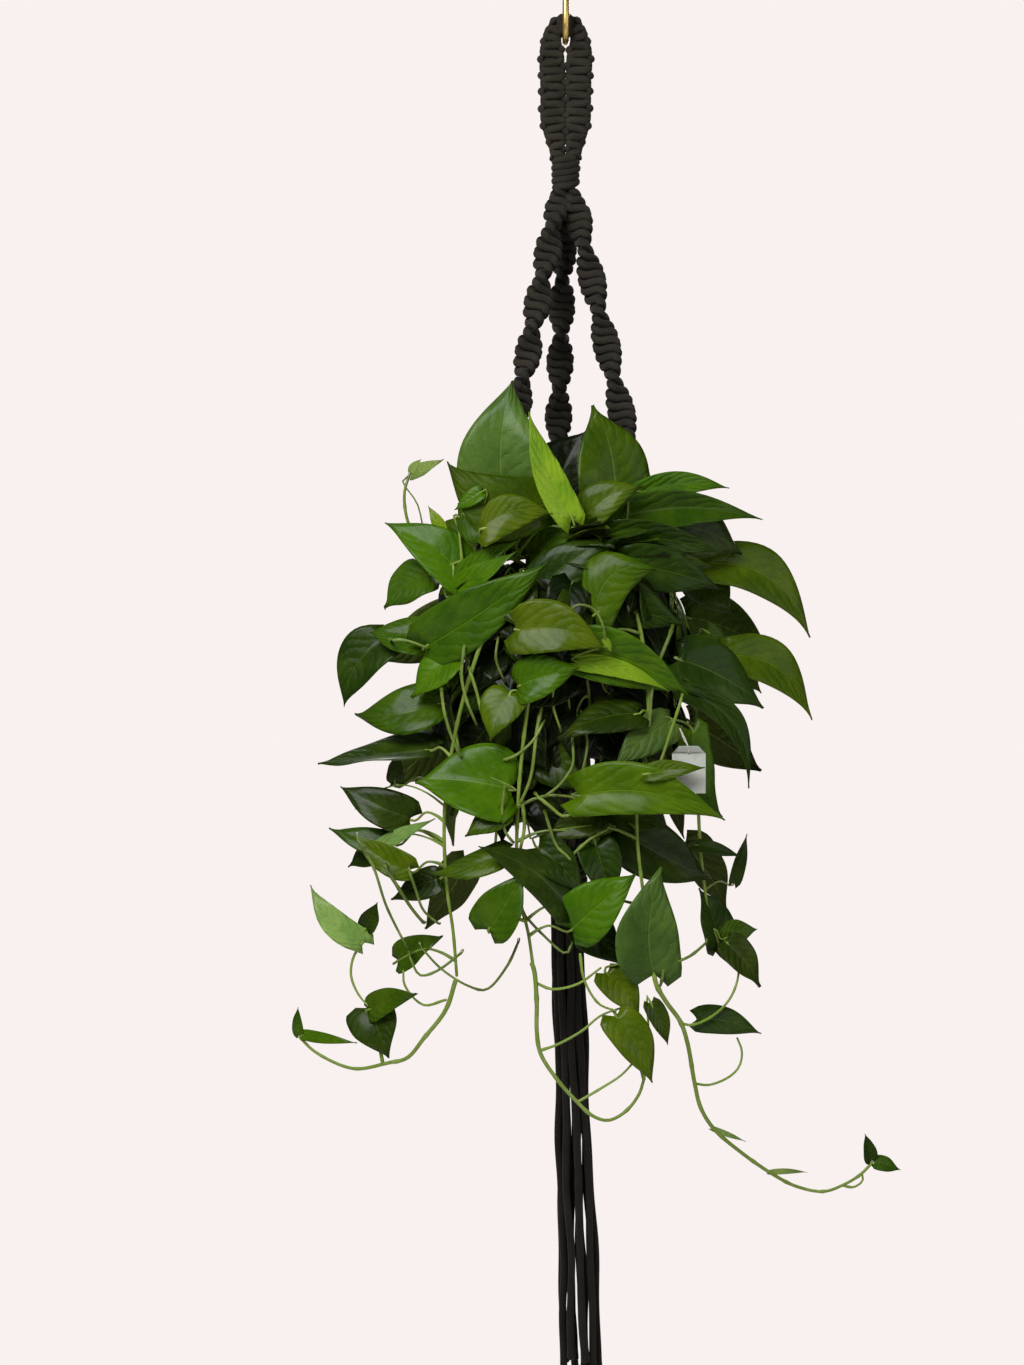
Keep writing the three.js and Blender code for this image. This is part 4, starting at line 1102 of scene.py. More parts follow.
def add_vine(surface, name, settings):
    """A vine's stem, its shoots and its leaves, each leaf on a stalk from the nearest place of the stem."""
    data = VINES[name]
    behind = data.get("behind", False)
    outwards = 0.6 if "body" in data else 0.22
    rng = np.random.default_rng(sum(map(ord, name)))
    radius = settings.stem_radius
    line = add_stem(surface, [bowed(p, behind) for p in data["stem"]], radius, rng)
    for points in data.get("shoots", []):
        add_stem(surface, [bowed(p, behind) for p in points], radius * 0.62, rng, 0.3, 0.8)
    for base, tip, width, turn, tone, *habit in data["leaves"]:
        start, end = bowed(base, behind), bowed(tip, behind)
        along = unit(end - start)
        looks = np.array([start[0] / outwards, 1.0 if behind else -1.0, 0.35])
        angle = math.radians(turn)
        looks = (looks * math.cos(angle) + np.cross(along, looks) * math.sin(angle)
                 + along * np.dot(along, looks) * (1 - math.cos(angle)))
        habit = dict(habit[0]) if habit else {}
        stalked = habit.pop("stalk", True)
        face = add_leaf(surface, start, end, width * MM, looks, tinted(tone, rng), rng,
                        settings.leaf_thickness, **habit)
        if not stalked:
            continue
        nearest = line[np.argmin(np.linalg.norm(line - start, axis=1))]
        green = mix(np.array(STEM_OLD), np.array(STEM_YOUNG), rng.uniform(0.2, 1.0))
        stalk = radius * (0.45 if width < THIN_LEAF else 0.68)
        add_stalk(surface, nearest, along, start, face, (*green[:3], 0), stalk)


# Thin runners and side shoots: (points, leaf tone or None, leaf length), in millimetres.
RUNNERS = [
    ([(-89, -97, -825), (-107, -96, -838), (-120, -95, -841), (-128, -94, -826)], None, 0),
    ([(-41, -104, -816), (-49, -103, -833), (-66, -104, -852), (-80, -106, -849), (-103, -100, -835),
      (-118, -96, -819)], None, 0),
    ([(-33, -113, -793), (-21, -112, -806), (-1, -112, -822), (3, -112, -815)], None, 0),
    ([(-102, -102, -611), (-100, -104, -626), (-95, -104, -644), (-88, -101, -661)], None, 0),
    ([(-84, -98, -576), (-86, -101, -597), (-82, -103, -617), (-75, -104, -634)], None, 0),
    ([(-79, -97, -594), (-73, -100, -613), (-69, -103, -630)], None, 0),
    ([(-21, -100, -622), (-25, -108, -643), (-30, -112, -680), (-38, -110, -700)], None, 0),
    ([(4, -104, -651), (4, -110, -670), (-6, -114, -685), (-20, -114, -696)], None, 0),
    ([(-52, -104, -666), (-42, -108, -662), (-28, -110, -650), (-20, -106, -636)], None, 0),
    ([(-24, -114, -695), (-13, -117, -704), (-3, -119, -711), (14, -117, -701)], None, 0),
    ([(-51, -117, -690), (-53, -119, -704), (-51, -119, -722), (-45, -116, -731)], None, 0),
    ([(-36, -112, -703), (-35, -117, -720), (-38, -118, -736)], None, 0),
    ([(-17, -112, -712), (-9, -116, -735), (2, -117, -746), (6, -114, -762)], "bright", 16),
    ([(4, -114, -742), (20, -114, -728), (32, -110, -722)], None, 0),
    ([(-10, -98, -600), (-12, -104, -620), (-6, -106, -640)], None, 0),
    ([(12, -100, -630), (16, -106, -652), (12, -108, -676)], None, 0),
    ([(-56, -96, -566), (-58, -100, -584), (-52, -102, -600)], None, 0),
    ([(-44, -98, -560), (-38, -101, -580), (-40, -103, -598)], None, 0),
    ([(-170, -96, -731), (-158, -97, -752), (-147, -97, -785), (-132, -97, -815)], None, 0),
    ([(-147, -95, -755), (-138, -96, -769), (-127, -97, -786), (-118, -97, -797)], None, 0),
    ([(-128, -98, -757), (-123, -99, -772), (-117, -98, -788), (-106, -97, -798)], None, 0),
    ([(-143, -78, -568), (-130, -80, -569), (-116, -80, -574)], None, 0),
    ([(84, -100, -562), (70, -106, -600), (66, -108, -640)], None, 0),
    ([(92, -112, -616), (84, -116, -640), (70, -116, -676), (52, -112, -690)], None, 0),
    ([(58, -108, -652), (64, -110, -672), (60, -110, -692)], None, 0),
    ([(85, -106, -800), (80, -106, -822), (76, -106, -846)], None, 0),
    ([(86, -106, -830), (99, -104, -825), (112, -98, -815)], None, 0),
    ([(-98, -52, -500), (-118, -50, -490), (-130, -48, -473), (-134, -47, -447), (-129, -47, -429)],
     "light", 14),
    ([(2, -116, -549), (6, -120, -541), (20, -121, -543), (28, -120, -556), (30, -118, -568)], "new", 12),
]


def add_runners(surface, settings):
    """Each runner and loose stalk comes out of the foliage and goes back into it."""
    rng = np.random.default_rng(11)
    into = np.array([0, 24 * MM, 0])
    for points, tone, long in RUNNERS:
        points = [np.array(p) * MM for p in points]
        points.insert(0, points[0] + (points[0] - points[1]) * 0.2 + into)
        if not tone:
            points.append(points[-1] + (points[-1] - points[-2]) * 0.2 + into)
        thick = settings.stem_radius * rng.uniform(0.62, 0.9)
        line = add_stem(surface, points, thick, rng, 0.3, rng.uniform(-0.1, 0.55))
        if tone:
            end, along = line[-1], unit(line[-1] - line[-3])
            tip = end + unit(along + np.array([0.4, -0.2, -0.1])) * long * MM
            looks = np.array([0, -1, 0.4])
            add_leaf(surface, end, tip, long * 0.5 * MM, looks, tinted(tone, rng), rng,
                     settings.leaf_thickness)


# Fuller growth between the vines: (angles from the front, heights, distance of the stems from the axis,
# stems, leaves, leaf lengths, tones), in degrees and millimetres.
# In these tone lists deep is painted shade, and dark is partly painted shade.
SIDE_TONES = ("dark", "deep", "mid", "dark", "olive")
LAYERS = {
    "inner_leaves_front": ((-52, 52), (-528, -735), (86, 90), 9, 52, (42, 58),
                           ("deep", "deep", "deep", "dark", "deep")),
    "inner_leaves_right": ((52, 128), (-528, -730), (86, 90), 6, 30, (44, 62), SIDE_TONES),
    "inner_leaves_back": ((128, 232), (-528, -770), (87, 96), 9, 56, (44, 64),
                          ("dark", "mid", "deep", "olive", "dark", "bright")),
    "inner_leaves_left": ((232, 308), (-528, -730), (86, 91), 6, 30, (44, 62), SIDE_TONES),
}
# deep is painted shade here too, and dark partly so.
CROWN_TONES = ("deep", "dark", "mid", "dark", "olive", "deep")

POT_LIFT = 12
KEPT_CLEAR = 5
SOIL_HEIGHT = -543
OVER_THE_RIM = [(48, SOIL_HEIGHT), (66, -516), (84, -519)]  # distance from the axis and height
GOLDEN_SHARE, GOLDEN_ANGLE = 0.618, 137.5  # steps that spread things evenly, however many there are
PLACEMENTS = 9  # tries to find an inner leaf a place that is clear of the cords
ARM_CLEARANCE = 17  # degrees between an inner stem and an arm

# Half widths of the cradle's cords, and simpler routes of its pairs and of the four cords under the pot.
ARM_SIZE, PAIR_SIZE, KNOT_SIZE, FOUR_CORDS_SIZE = 12, 7, 14, 12
PLAIN_PAIR = [(5, 82, -509), (24, 78.4, -540), (42, 75.5, -560), (54, 71.5, -582)]
PLAIN_FOUR_CORDS = [(69, -611), (62, -661), (25, -724)]


def cord_lines():
    """Points along every cord of the cradle, each with its half width: arms, pairs, knots and four cords."""
    places, sizes = [], []
    for arm in ARM_ANGLES:
        knot = arm + HALF_GAP
        parts = [([around(arm, *ARM_TOP), around(arm, *ARM_FOOT)], ARM_SIZE)]
        for side in (-1, 1):
            parts.append(([around(arm + side * turn, out, z) for turn, out, z in PLAIN_PAIR], PAIR_SIZE))
        parts.append(([around(knot, *KNOT_TOP), around(knot, *KNOT_FOOT)], KNOT_SIZE))
        parts.append(([around(knot, out, z) for out, z in PLAIN_FOUR_CORDS], FOUR_CORDS_SIZE))
        for points, size in parts:
            line = smooth_line(points, 40) if len(points) > 2 else np.linspace(*points, 80)
            places.append(line)
            sizes.append(np.full(len(line), size * MM))
    return np.concatenate(places), np.concatenate(sizes)


CORD_LINES, CORD_SIZES = cord_lines()


def clears_cords(points):
    """Whether the points stay clear of the cords, both as the pot hangs and when it is lifted."""
    for lift in (0, POT_LIFT / 2, POT_LIFT):
        away = np.linalg.norm(points[:, None] + np.array([0, 0, lift * MM]) - CORD_LINES[None], axis=2)
        if np.any(away < CORD_SIZES + KEPT_CLEAR * MM):
            return False
    return True


def leaf_reach(base, towards, looks, long):
    """Eight points spread over a leaf: its ends, its middle and its widest places."""
    side = unit(np.cross(towards, looks))
    shares = [(0, 0), (0.2, 0.34), (0.2, -0.34), (0.5, 0), (0.5, 0.3), (0.5, -0.3), (0.8, 0), (1, 0)]
    return np.array([base + towards * long * a + side * long * b for a, b in shares])


def add_layer(surface, layer, settings, seed):
    """Stems that hang close to the pot on one side, with leaves wherever there is room between the cords."""
    angles, heights, reach, stems, leaves, sizes, tones = layer
    rng = np.random.default_rng(seed)
    radius = settings.stem_radius
    lines = []
    for j in range(stems):
        angle = mix(*angles, (j + 0.5 + rng.uniform(-0.3, 0.3)) / stems)
        near = min(ARM_ANGLES, key=lambda arm: abs((angle - arm + 180) % 360 - 180))
        gap = (angle - near + 180) % 360 - 180
        if abs(gap) < ARM_CLEARANCE:
            angle += math.copysign(ARM_CLEARANCE - abs(gap), gap)
        drop = mix(*heights, rng.uniform(0.7, 1.0))
        points = [around(angle, out, z) for out, z in OVER_THE_RIM]
        for share in np.linspace(0.05, 1, 6):
            swing = angle + rng.uniform(-3, 3)
            points.append(around(swing, rng.uniform(*reach) - 16 * share**2, mix(-520, drop, share)))
        thick = radius * rng.uniform(0.6, 0.85)
        lines.append(add_stem(surface, points, thick, rng, 0.4, rng.uniform(0.1, 0.9)))
    for k in range(leaves):
        line = lines[k % stems]
        place = int(mix(0.12, 0.94, (k * GOLDEN_SHARE) % 1.0) * (len(line) - 1))
        root = line[place]
        outward = unit(root * np.array([1, 1, 0]))
        sideways = np.cross(outward, UP)
        for attempt in range(PLACEMENTS):
            moved = outward * (rng.uniform(1, 9) + 1.5 * attempt) + sideways * rng.uniform(-17, 17)
            base = root + (moved + UP * rng.uniform(-6, 9)) * MM
            towards = outward * rng.uniform(-0.05, 0.32) + sideways * rng.uniform(-1, 1)
            towards = unit(towards - UP * rng.uniform(0.35, 1.2))
            long = rng.uniform(*sizes) * MM
            looks = outward + sideways * rng.uniform(-0.5, 0.5) + UP * rng.uniform(0.2, 0.7)
            if clears_cords(leaf_reach(base, towards, looks, long)):
                break
        else:
            continue
        wide = long * rng.uniform(0.62, 0.78)
        colour = tinted(tones[k % len(tones)], rng)
        face = add_leaf(surface, base, base + towards * long, wide, looks, colour, rng,
                        settings.leaf_thickness, pattern=SMALL_PATTERN)
        green = mix(np.array(STEM_OLD), np.array(STEM_YOUNG), rng.uniform(0, 0.8))
        add_stalk(surface, line[max(0, place - 4)], towards, base, face, (*green[:3], 0), radius * 0.6, 0.3)


def add_crown(surface, settings):
    """Short leaves that rise from the soil and fill the middle of the plant."""
    rng = np.random.default_rng(77)
    for k in range(settings.crown_leaves * 2):
        angle = (k * GOLDEN_ANGLE) % 360
        out = 18 + 52 * ((k * GOLDEN_SHARE) % 1.0)
        root = around(angle, out * 0.6, SOIL_HEIGHT)
        base = around(angle + rng.uniform(-12, 12), out, -498 + 40 * (1 - out / 70) + rng.uniform(-14, 12))
        outward = around(angle, 1 / MM, 0)
        sideways = np.cross(outward, UP)
        towards = outward * rng.uniform(0.5, 1.0) + sideways * rng.uniform(-0.8, 0.8)
        towards = unit(towards + UP * rng.uniform(-0.5, 0.35))
        long = rng.uniform(42, 60) * MM
        looks = outward * 0.7 + UP
        if not clears_cords(leaf_reach(base, towards, looks, long)):
            continue
        wide = long * rng.uniform(0.6, 0.76)
        colour = tinted(CROWN_TONES[k % len(CROWN_TONES)], rng)
        face = add_leaf(surface, base, base + towards * long, wide, looks, colour, rng,
                        settings.leaf_thickness, droop=rng.uniform(0.4, 1.0), pattern=SMALL_PATTERN)
        add_stalk(surface, root, towards, base, face, (*STEM_OLD[:3], 0), settings.stem_radius * 0.7, 0.2)


# ---- settings ----

class CordSettings(PropertyGroup):
    cord_diameter: FloatProperty(
        name="Cord", description="Diameter of the hanger's cord", default=0.0065, unit="LENGTH")
    bar_pitch: FloatProperty(
        name="Knot pitch", description="Drop from one half knot to the next", default=0.0071, unit="LENGTH")
    cord_colour: FloatVectorProperty(
        name="Cord colour", description="The worn, lighter colour of the cord",
        default=shade(45, 42, 33), size=4, subtype="COLOR")


class HookSettings(PropertyGroup):
    wire_diameter: FloatProperty(
        name="Wire", description="Diameter of the hook's wire", default=0.0055, unit="LENGTH")
    brass_colour: FloatVectorProperty(
        name="Brass", description="Colour of the clean brass",
        default=shade(226, 196, 118), size=4, subtype="COLOR")


class PlantSettings(PropertyGroup):
    stem_radius: FloatProperty(
        name="Stem", description="Radius of a vine's stem at its root", default=0.0019, unit="LENGTH")
    leaf_thickness: FloatProperty(
        name="Leaf", description="Thickness of a leaf", default=0.0007, unit="LENGTH")
    crown_leaves: IntProperty(
        name="Crown leaves", description="Half the number of leaves tried over the soil", default=40)


class StageSettings(PropertyGroup):
    camera_distance: FloatProperty(
        name="Distance", description="From the hanger's axis to the camera", default=3.0, unit="LENGTH")
    lens: FloatProperty(name="Lens", description="Focal length in millimetres", default=94.2)
    floor_height: FloatProperty(name="Floor", description="Height of the floor", default=-1.7, unit="LENGTH")
    key_power: FloatProperty(name="Key light", description="Power of the main light in watts", default=84.0)


# ---- operators ----

CAMERA_SIDE, CAMERA_HEIGHT = -0.045, -0.603
LIT_PLACE = np.array([0.0, -0.05, -0.6])  # where every lamp points


class PLANTER_OT_stage(Operator):
    """Set up the camera, soft studio light, pale background and floor"""
    bl_idname = "planter.stage"
    bl_label = "Stage"

    def execute(self, context):
        settings = context.scene.planter_stage
        scene = context.scene
        scene.view_settings.view_transform = "Standard"
        camera = bpy.data.cameras.new("camera")
        camera.sensor_fit = "VERTICAL"
        camera.sensor_height = 36
        camera.lens = settings.lens
        eye = bpy.data.objects.new("camera", camera)
        eye.location = (CAMERA_SIDE, -settings.camera_distance, CAMERA_HEIGHT)
        eye.rotation_euler = (math.pi / 2, 0, 0)
        scene.collection.objects.link(eye)
        scene.camera = eye
        self.light("key_light", (-1.2, -1.9, 1.1), 1.3, settings.key_power)
        self.light("fill_light", (1.9, -2.0, -0.2), 1.8, settings.key_power * 0.22)
        self.light("back_light", (0.3, 2.2, 0.6), 1.6, settings.key_power * 0.5)
        self.background(scene)
        floor = started(bpy.ops.mesh.primitive_circle_add, "floor", vertices=96, radius=2.5,
                        fill_type="NGON", location=(0, 0, settings.floor_height))
        floor.data.materials.append(finish("floor", floor_finish))
        return {"FINISHED"}

    def light(self, name, place, size, power):
        lamp = bpy.data.lights.new(name, "AREA")
        lamp.size = size
        lamp.energy = power
        light = bpy.data.objects.new(name, lamp)
        light.location = place
        aim = unit(LIT_PLACE - np.array(place))
        tilt, turn = math.acos(-aim[2]), math.atan2(aim[1], aim[0]) - math.pi / 2
        light.rotation_euler = (tilt, 0, turn)
        bpy.context.scene.collection.objects.link(light)

    def background(self, scene):
        """What the camera sees is brighter than the light that the background gives."""
        world = bpy.data.worlds.new("studio")
        scene.world = world
        world.use_nodes = True
        tree = world.node_tree
        tree.nodes.clear()
        seen, given = tree.nodes.new("ShaderNodeBackground"), tree.nodes.new("ShaderNodeBackground")
        seen.inputs[0].default_value = shade(249, 241, 239)
        given.inputs[0].default_value = (1.0, 0.98, 0.95, 1.0)
        given.inputs[1].default_value = 0.15
        path, both = tree.nodes.new("ShaderNodeLightPath"), tree.nodes.new("ShaderNodeMixShader")
        output = tree.nodes.new("ShaderNodeOutputWorld")
        tree.links.new(path.outputs["Is Camera Ray"], both.inputs[0])
        tree.links.new(given.outputs[0], both.inputs[1])
        tree.links.new(seen.outputs[0], both.inputs[2])
        tree.links.new(both.outputs[0], output.inputs[0])


class PLANTER_OT_tassel(Operator):
    """Hang the twelve loose cords of the tassel from the bottom knot"""
    bl_idname = "planter.tassel"
    bl_label = "Tassel"

    def execute(self, context):
        settings = context.scene.planter_cord
        # The tassel is the same cord as the rest, painted darker at 0.36 of its colour: painted shade.
        cord = finish("tassel_cord", cord_finish, settings, 0.36)
        radius = settings.cord_diameter / 2 - 0.2 * MM
        for i in range(TASSEL_CORDS):
            line = tassel_line(i)
            far = lengths_along(line)
            to_end = far[-1] - far
            flare = 1 + 0.22 * np.exp(-((to_end / 0.004) ** 2))
            lumps = 1 + 0.03 * np.sin(far / 0.013 + i)
            surface = Surface()
            out = np.array([math.sin(i), math.cos(i), 0.0])
            add_strand(surface, line, out, radius * flare * lumps, radius * flare / lumps, sides=12)
            piece = surface.made(f"tassel_strand_{i + 1:02d}", cord)
            settle(piece, "tassel", "black_cord", f"tassel_cord_{i + 1:02d}")
        return {"FINISHED"}


SCREW_ANGLES = (0, 120, 240)
SCREW_CIRCLE = 18
BEND_RADIUS = 15.25  # of the hook's round bottom, to the middle of the wire
BEND_HEIGHT = -49.5


class PLANTER_OT_hook(Operator):
    """Make the ceiling plate, its three screws and the bent brass hook"""
    bl_idname = "planter.hook"
    bl_label = "Ceiling hook"

    def execute(self, context):
        settings = context.scene.planter_hook
        brass = finish("brass", brass_finish, settings)
        for piece, node in ((self.plate(), "ceiling_plate"), (self.wire(settings), "hook")):
            smoothed(piece)
            piece.data.materials.append(brass)
            settle(piece, "ceiling_hook", "brass", node)
        for i, turn in enumerate(SCREW_ANGLES):
            screw = self.screw(around(turn, SCREW_CIRCLE, 0))
            screw.name = screw.data.name = f"wood_screw_{i + 1}"
            screw.data.materials.append(brass)
            settle(screw, "ceiling_hook", "brass", f"plate_screw_{i + 1}")
        return {"FINISHED"}

    def plate(self):
        radius = (PLATE_BOX[1][0] - PLATE_BOX[0][0]) / 2 / MM
        plate = turned("round_plate", [
            (0, 0), (radius, 0), (radius, -1.6), (radius - 0.5, -2.5), (radius - 1.5, -3),
            (radius - 5, -3), (radius - 5.6, -2.7), (9, -2.7), (8.4, -3), (0, -3),
        ], 72)
        for turn in SCREW_ANGLES:
            countersink = turned("countersink", [(0, -4), (5.6, -4), (2.1, -0.5), (2.1, 1), (0, 1)], 28)
            bored(plate, shifted(countersink, around(turn, SCREW_CIRCLE, 0)))
        return plate

    def wire(self, settings):
        """The boss, and the wire through the points of its bends."""
        points = [(0, 0, -4), (0, 0, -13), (0, -7, -22), (0, -13.5, -31), (0, -BEND_RADIUS, -40)]
        for turn in np.radians(np.arange(0, 181, 22.5)):
            points.append((0, -math.cos(turn) * BEND_RADIUS, BEND_HEIGHT - math.sin(turn) * BEND_RADIUS))
        points.append((0, 15.85, -41.5))
        on_its_own()
        bpy.ops.curve.primitive_bezier_curve_add(location=(0, 0, 0))
        hook = bpy.context.object
        hook.name = "bent_hook"
        bends = hook.data.splines[0].bezier_points
        bends.add(len(points) - len(bends))
        for bend, point in zip(bends, points):
            bend.co = np.array(point) * MM
            bend.handle_left_type = bend.handle_right_type = "AUTO"
        hook.data.dimensions = "3D"
        hook.data.bevel_depth = settings.wire_diameter / 2
        hook.data.bevel_resolution = 6
        hook.data.use_fill_caps = True
        bpy.ops.object.convert(target="MESH")
        hook = bpy.context.object
        hook.data.name = "bent_hook"
        bpy.ops.object.transform_apply(location=True, rotation=True, scale=True)
        bpy.ops.object.mode_set(mode="EDIT")
        mended()
        modified(hook, "BEVEL", width=0.9 * MM, segments=3, limit_method="ANGLE", angle_limit=math.radians(60))
        boss = turned("boss", [
            (0, -9), (3.6, -9), (4.4, -8.2), (4.7, -6.8), (6.4, -4.4), (6.4, -3.3), (0, -3.3),
        ], 40)
        modified(hook, "BOOLEAN", operation="UNION", object=boss, solver="EXACT")
        bpy.data.objects.remove(boss)
        return hook

    def screw(self, place):
        screw = turned("wood_screw", [
            (0, -3), (3.2, -3), (3.5, -2.8), (1.75, -0.4), (1.75, 16), (0.2, 22), (0, 22),
        ], 28)
        for size in ((4.2, 0.8, 1.6), (0.8, 4.2, 1.6)):
            recess = started(bpy.ops.mesh.primitive_cube_add, "recess", size=MM, scale=size,
                             location=(0, 0, -3 * MM))
            bored(screw, recess)
        return smoothed(shifted(screw, place), 30)


class PLANTER_OT_loop(Operator):
    """Tie the hanging loop and the wrapped collar under it"""
    bl_idname = "planter.loop"
    bl_label = "Hanging loop"

    def execute(self, context):
        settings = context.scene.planter_cord
        cord = finish("cord", cord_finish, settings)
        crown = 11.7  # radius of the bend over the hook, to the middle of the braid's thickness
        eye = -50.9 - crown
        legs = [(-7, 0, -163), (-7, 0, -157), (-8.0, 0, -147), (-10.3, 0, -128), (-10.7, 0, -98)]
        points = list(legs)
        for turn in np.radians(np.arange(0, 181, 30)):
            points.append((-math.cos(turn) * crown, 0, eye + math.sin(turn) * crown))
        points += [(-x, y, z) for x, y, z in reversed(legs)]
        count = 220
        line = smooth_line(np.array(points) * MM, count)
        from_crown = np.abs(np.linspace(0, 1, count) - 0.5) * 2
        at_collar = ease(from_crown, 0.72, 1.0)
        # Half widths of the braid: down its legs, in the collar, just off the crown and on the crown itself.
        leg, collar, shoulder, top = 11.7, 6.6, 7.6, 10.2
        wide = mix(leg, collar, at_collar)
        wide = mix(wide, shoulder, 1 - ease(from_crown, 0.1, 0.3))
        wide = mix(wide, top, 1 - ease(from_crown, 0, 0.1))
        front = np.tile(FRONT, (count, 1))
        side = unit(np.cross(directions(line), front))
        band = Band(line, side, front, wide * MM, mix(6.0, 7.2, at_collar) * MM)
        surface = Surface()
        band.knotted(surface, 6.9 * MM, "square", 5, flat=2.7 * MM)
        settle(surface.made("knotted_loop", cord), "loop", "black_cord", "hanging_loop")
        surface = Surface()
        wrapped(surface, bottom=-190 * MM, top=-162 * MM, radius=12.4 * MM, turns=5, cord_radius=3 * MM)
        settle(surface.made("collar_wraps", cord), "collar", "black_cord", "top_collar")
        return {"FINISHED"}


class PLANTER_OT_arms(Operator):
    """Tie the three spiral arms"""
    bl_idname = "planter.arms"
    bl_label = "Spiral arms"

    def execute(self, context):
        settings = context.scene.planter_cord
        cord = finish("cord", cord_finish, settings)
        for seed, (name, (angle, bulge, half_turn)) in enumerate(ARMS.items()):
            top, bottom = around(angle, *ARM_TOP), around(angle, *ARM_FOOT)
            above = top + (top - bottom) * 0.012
            line = np.linspace(above, bottom, 200)
            z = line[:, 2] / MM
            opened = ease((ARM_TOP[1] - z) / (ARM_TOP[1] - ARM_FOOT[1]), -0.02, 0.07)
            along = directions(line)
            side = unit(np.cross(along, FRONT))
            out = unit(np.cross(side, along))
            turn = np.radians(180 * (z - bulge) / half_turn)[:, None]
            wide_axis = side * np.cos(turn) + out * np.sin(turn)
            front_axis = out * np.cos(turn) - side * np.sin(turn)
            half_wide, half_thick = mix(6.0, 11.6, opened) * MM, mix(5.2, 6.1, opened) * MM
            band = Band(line, wide_axis, front_axis, half_wide, half_thick)
            surface = Surface()
            band.knotted(surface, settings.bar_pitch, "spiral", 20 + seed)
            settle(surface.made(f"spiral_{name}", cord), "cradle", "black_cord", name)
        return {"FINISHED"}


class PLANTER_OT_net(Operator):
    """Make the net that holds the pot, and the knot that gathers it"""
    bl_idname = "planter.net"
    bl_label = "Net"

    def execute(self, context):
        settings = context.scene.planter_cord
        cord = finish("cord", cord_finish, settings)
        radius = settings.cord_diameter / 2 - 0.1 * MM
        for i, arm in enumerate(ARM_ANGLES):
            for k, side in enumerate((-1, 1)):
                number = 2 * i + k + 1
                pair = self.pair(arm, side, radius).made(f"net_pair_{number}", cord)
                settle(pair, "cradle", "black_cord", f"net_upper_{number}")
            knot = self.knot(arm + HALF_GAP, i).made(f"net_square_knot_{i + 1}", cord)
            settle(knot, "cradle", "black_cord", f"net_knot_{i + 1}")
            four = self.four_cords(arm + HALF_GAP, radius).made(f"net_four_cords_{i + 1}", cord)
            settle(four, "cradle", "black_cord", f"net_lower_{i + 1}")
        surface = Surface()
        wrapped(surface, bottom=-777 * MM, top=-744.6 * MM, radius=19 * MM, turns=5, cord_radius=radius, seed=8)
        settle(surface.made("gathering_knot", cord), "cradle", "black_cord", "bottom_knot")
        return {"FINISHED"}

    def pair(self, arm, side, radius):
        """Two cords side by side, from an arm's foot to the knot on one side of it."""
        line = smooth_line([around(arm + side * turn, out, z) for turn, out, z in PAIR_ROUTE], 60)
        t = np.linspace(0, 1, 60)
        out = np.stack([around(arm + side * mix(4.6, 53.4, share), 1 / MM, 0) for share in t])
        across = unit(np.cross(directions(line), out))
        surface = Surface()
        roll = 0.5 * np.sin(t * math.pi)[:, None]
        for sign in (-1, 1):
            offset = across * np.cos(roll) * sign * radius * 0.98 + out * np.sin(roll) * sign * radius * 0.5
            add_strand(surface, line + offset, out, radius, radius, sides=12)
        return surface

    def knot(self, angle, seed):
        """Three square knots close together, which swell a little one after the other."""
        count = 40
        line = np.linspace(around(angle, *KNOT_TOP), around(angle, *KNOT_FOOT), count)
        out = np.tile(around(angle, 1 / MM, 0), (count, 1))
        across = unit(np.cross(directions(line), out))
        surface = Surface()
        bump = np.abs(np.sin(np.linspace(0, 1, count) * math.pi * 3))
        band = Band(line, across, out, (12.8 + 1.6 * bump) * MM, (6.2 + 1.0 * bump) * MM)
        band.knotted(surface, 5.8 * MM, "square", 60 + seed, flat=2.6 * MM)
        return surface

    def four_cords(self, angle, radius):
        """Four cords side by side that run under the pot and draw together two by two."""
        count = 70
        line = smooth_line([around(angle, out, z) for out, z in FOUR_CORDS_ROUTE], count)
        t = np.linspace(0, 1, count)
        out = np.tile(around(angle, 1 / MM, 0.3 / MM), (count, 1))
        along = directions(line)
        across = unit(np.cross(along, out))
        outward = np.cross(across, along)
        gathered = ease(t, 0.3, 0.95)[:, None]
        deep = ease(t, 0.55, 1.0)[:, None]
        surface = Surface()
        for n, place in enumerate((-1.5, -0.5, 0.5, 1.5)):
            sideways = mix(place * 2 * radius * 0.96, np.sign(place) * radius * 1.1, gathered)
            depth = deep * (radius * 0.75 if n in (1, 3) else -radius * 0.75)
            add_strand(surface, line + across * sideways + outward * depth, out, radius, radius, sides=12)
        return surface


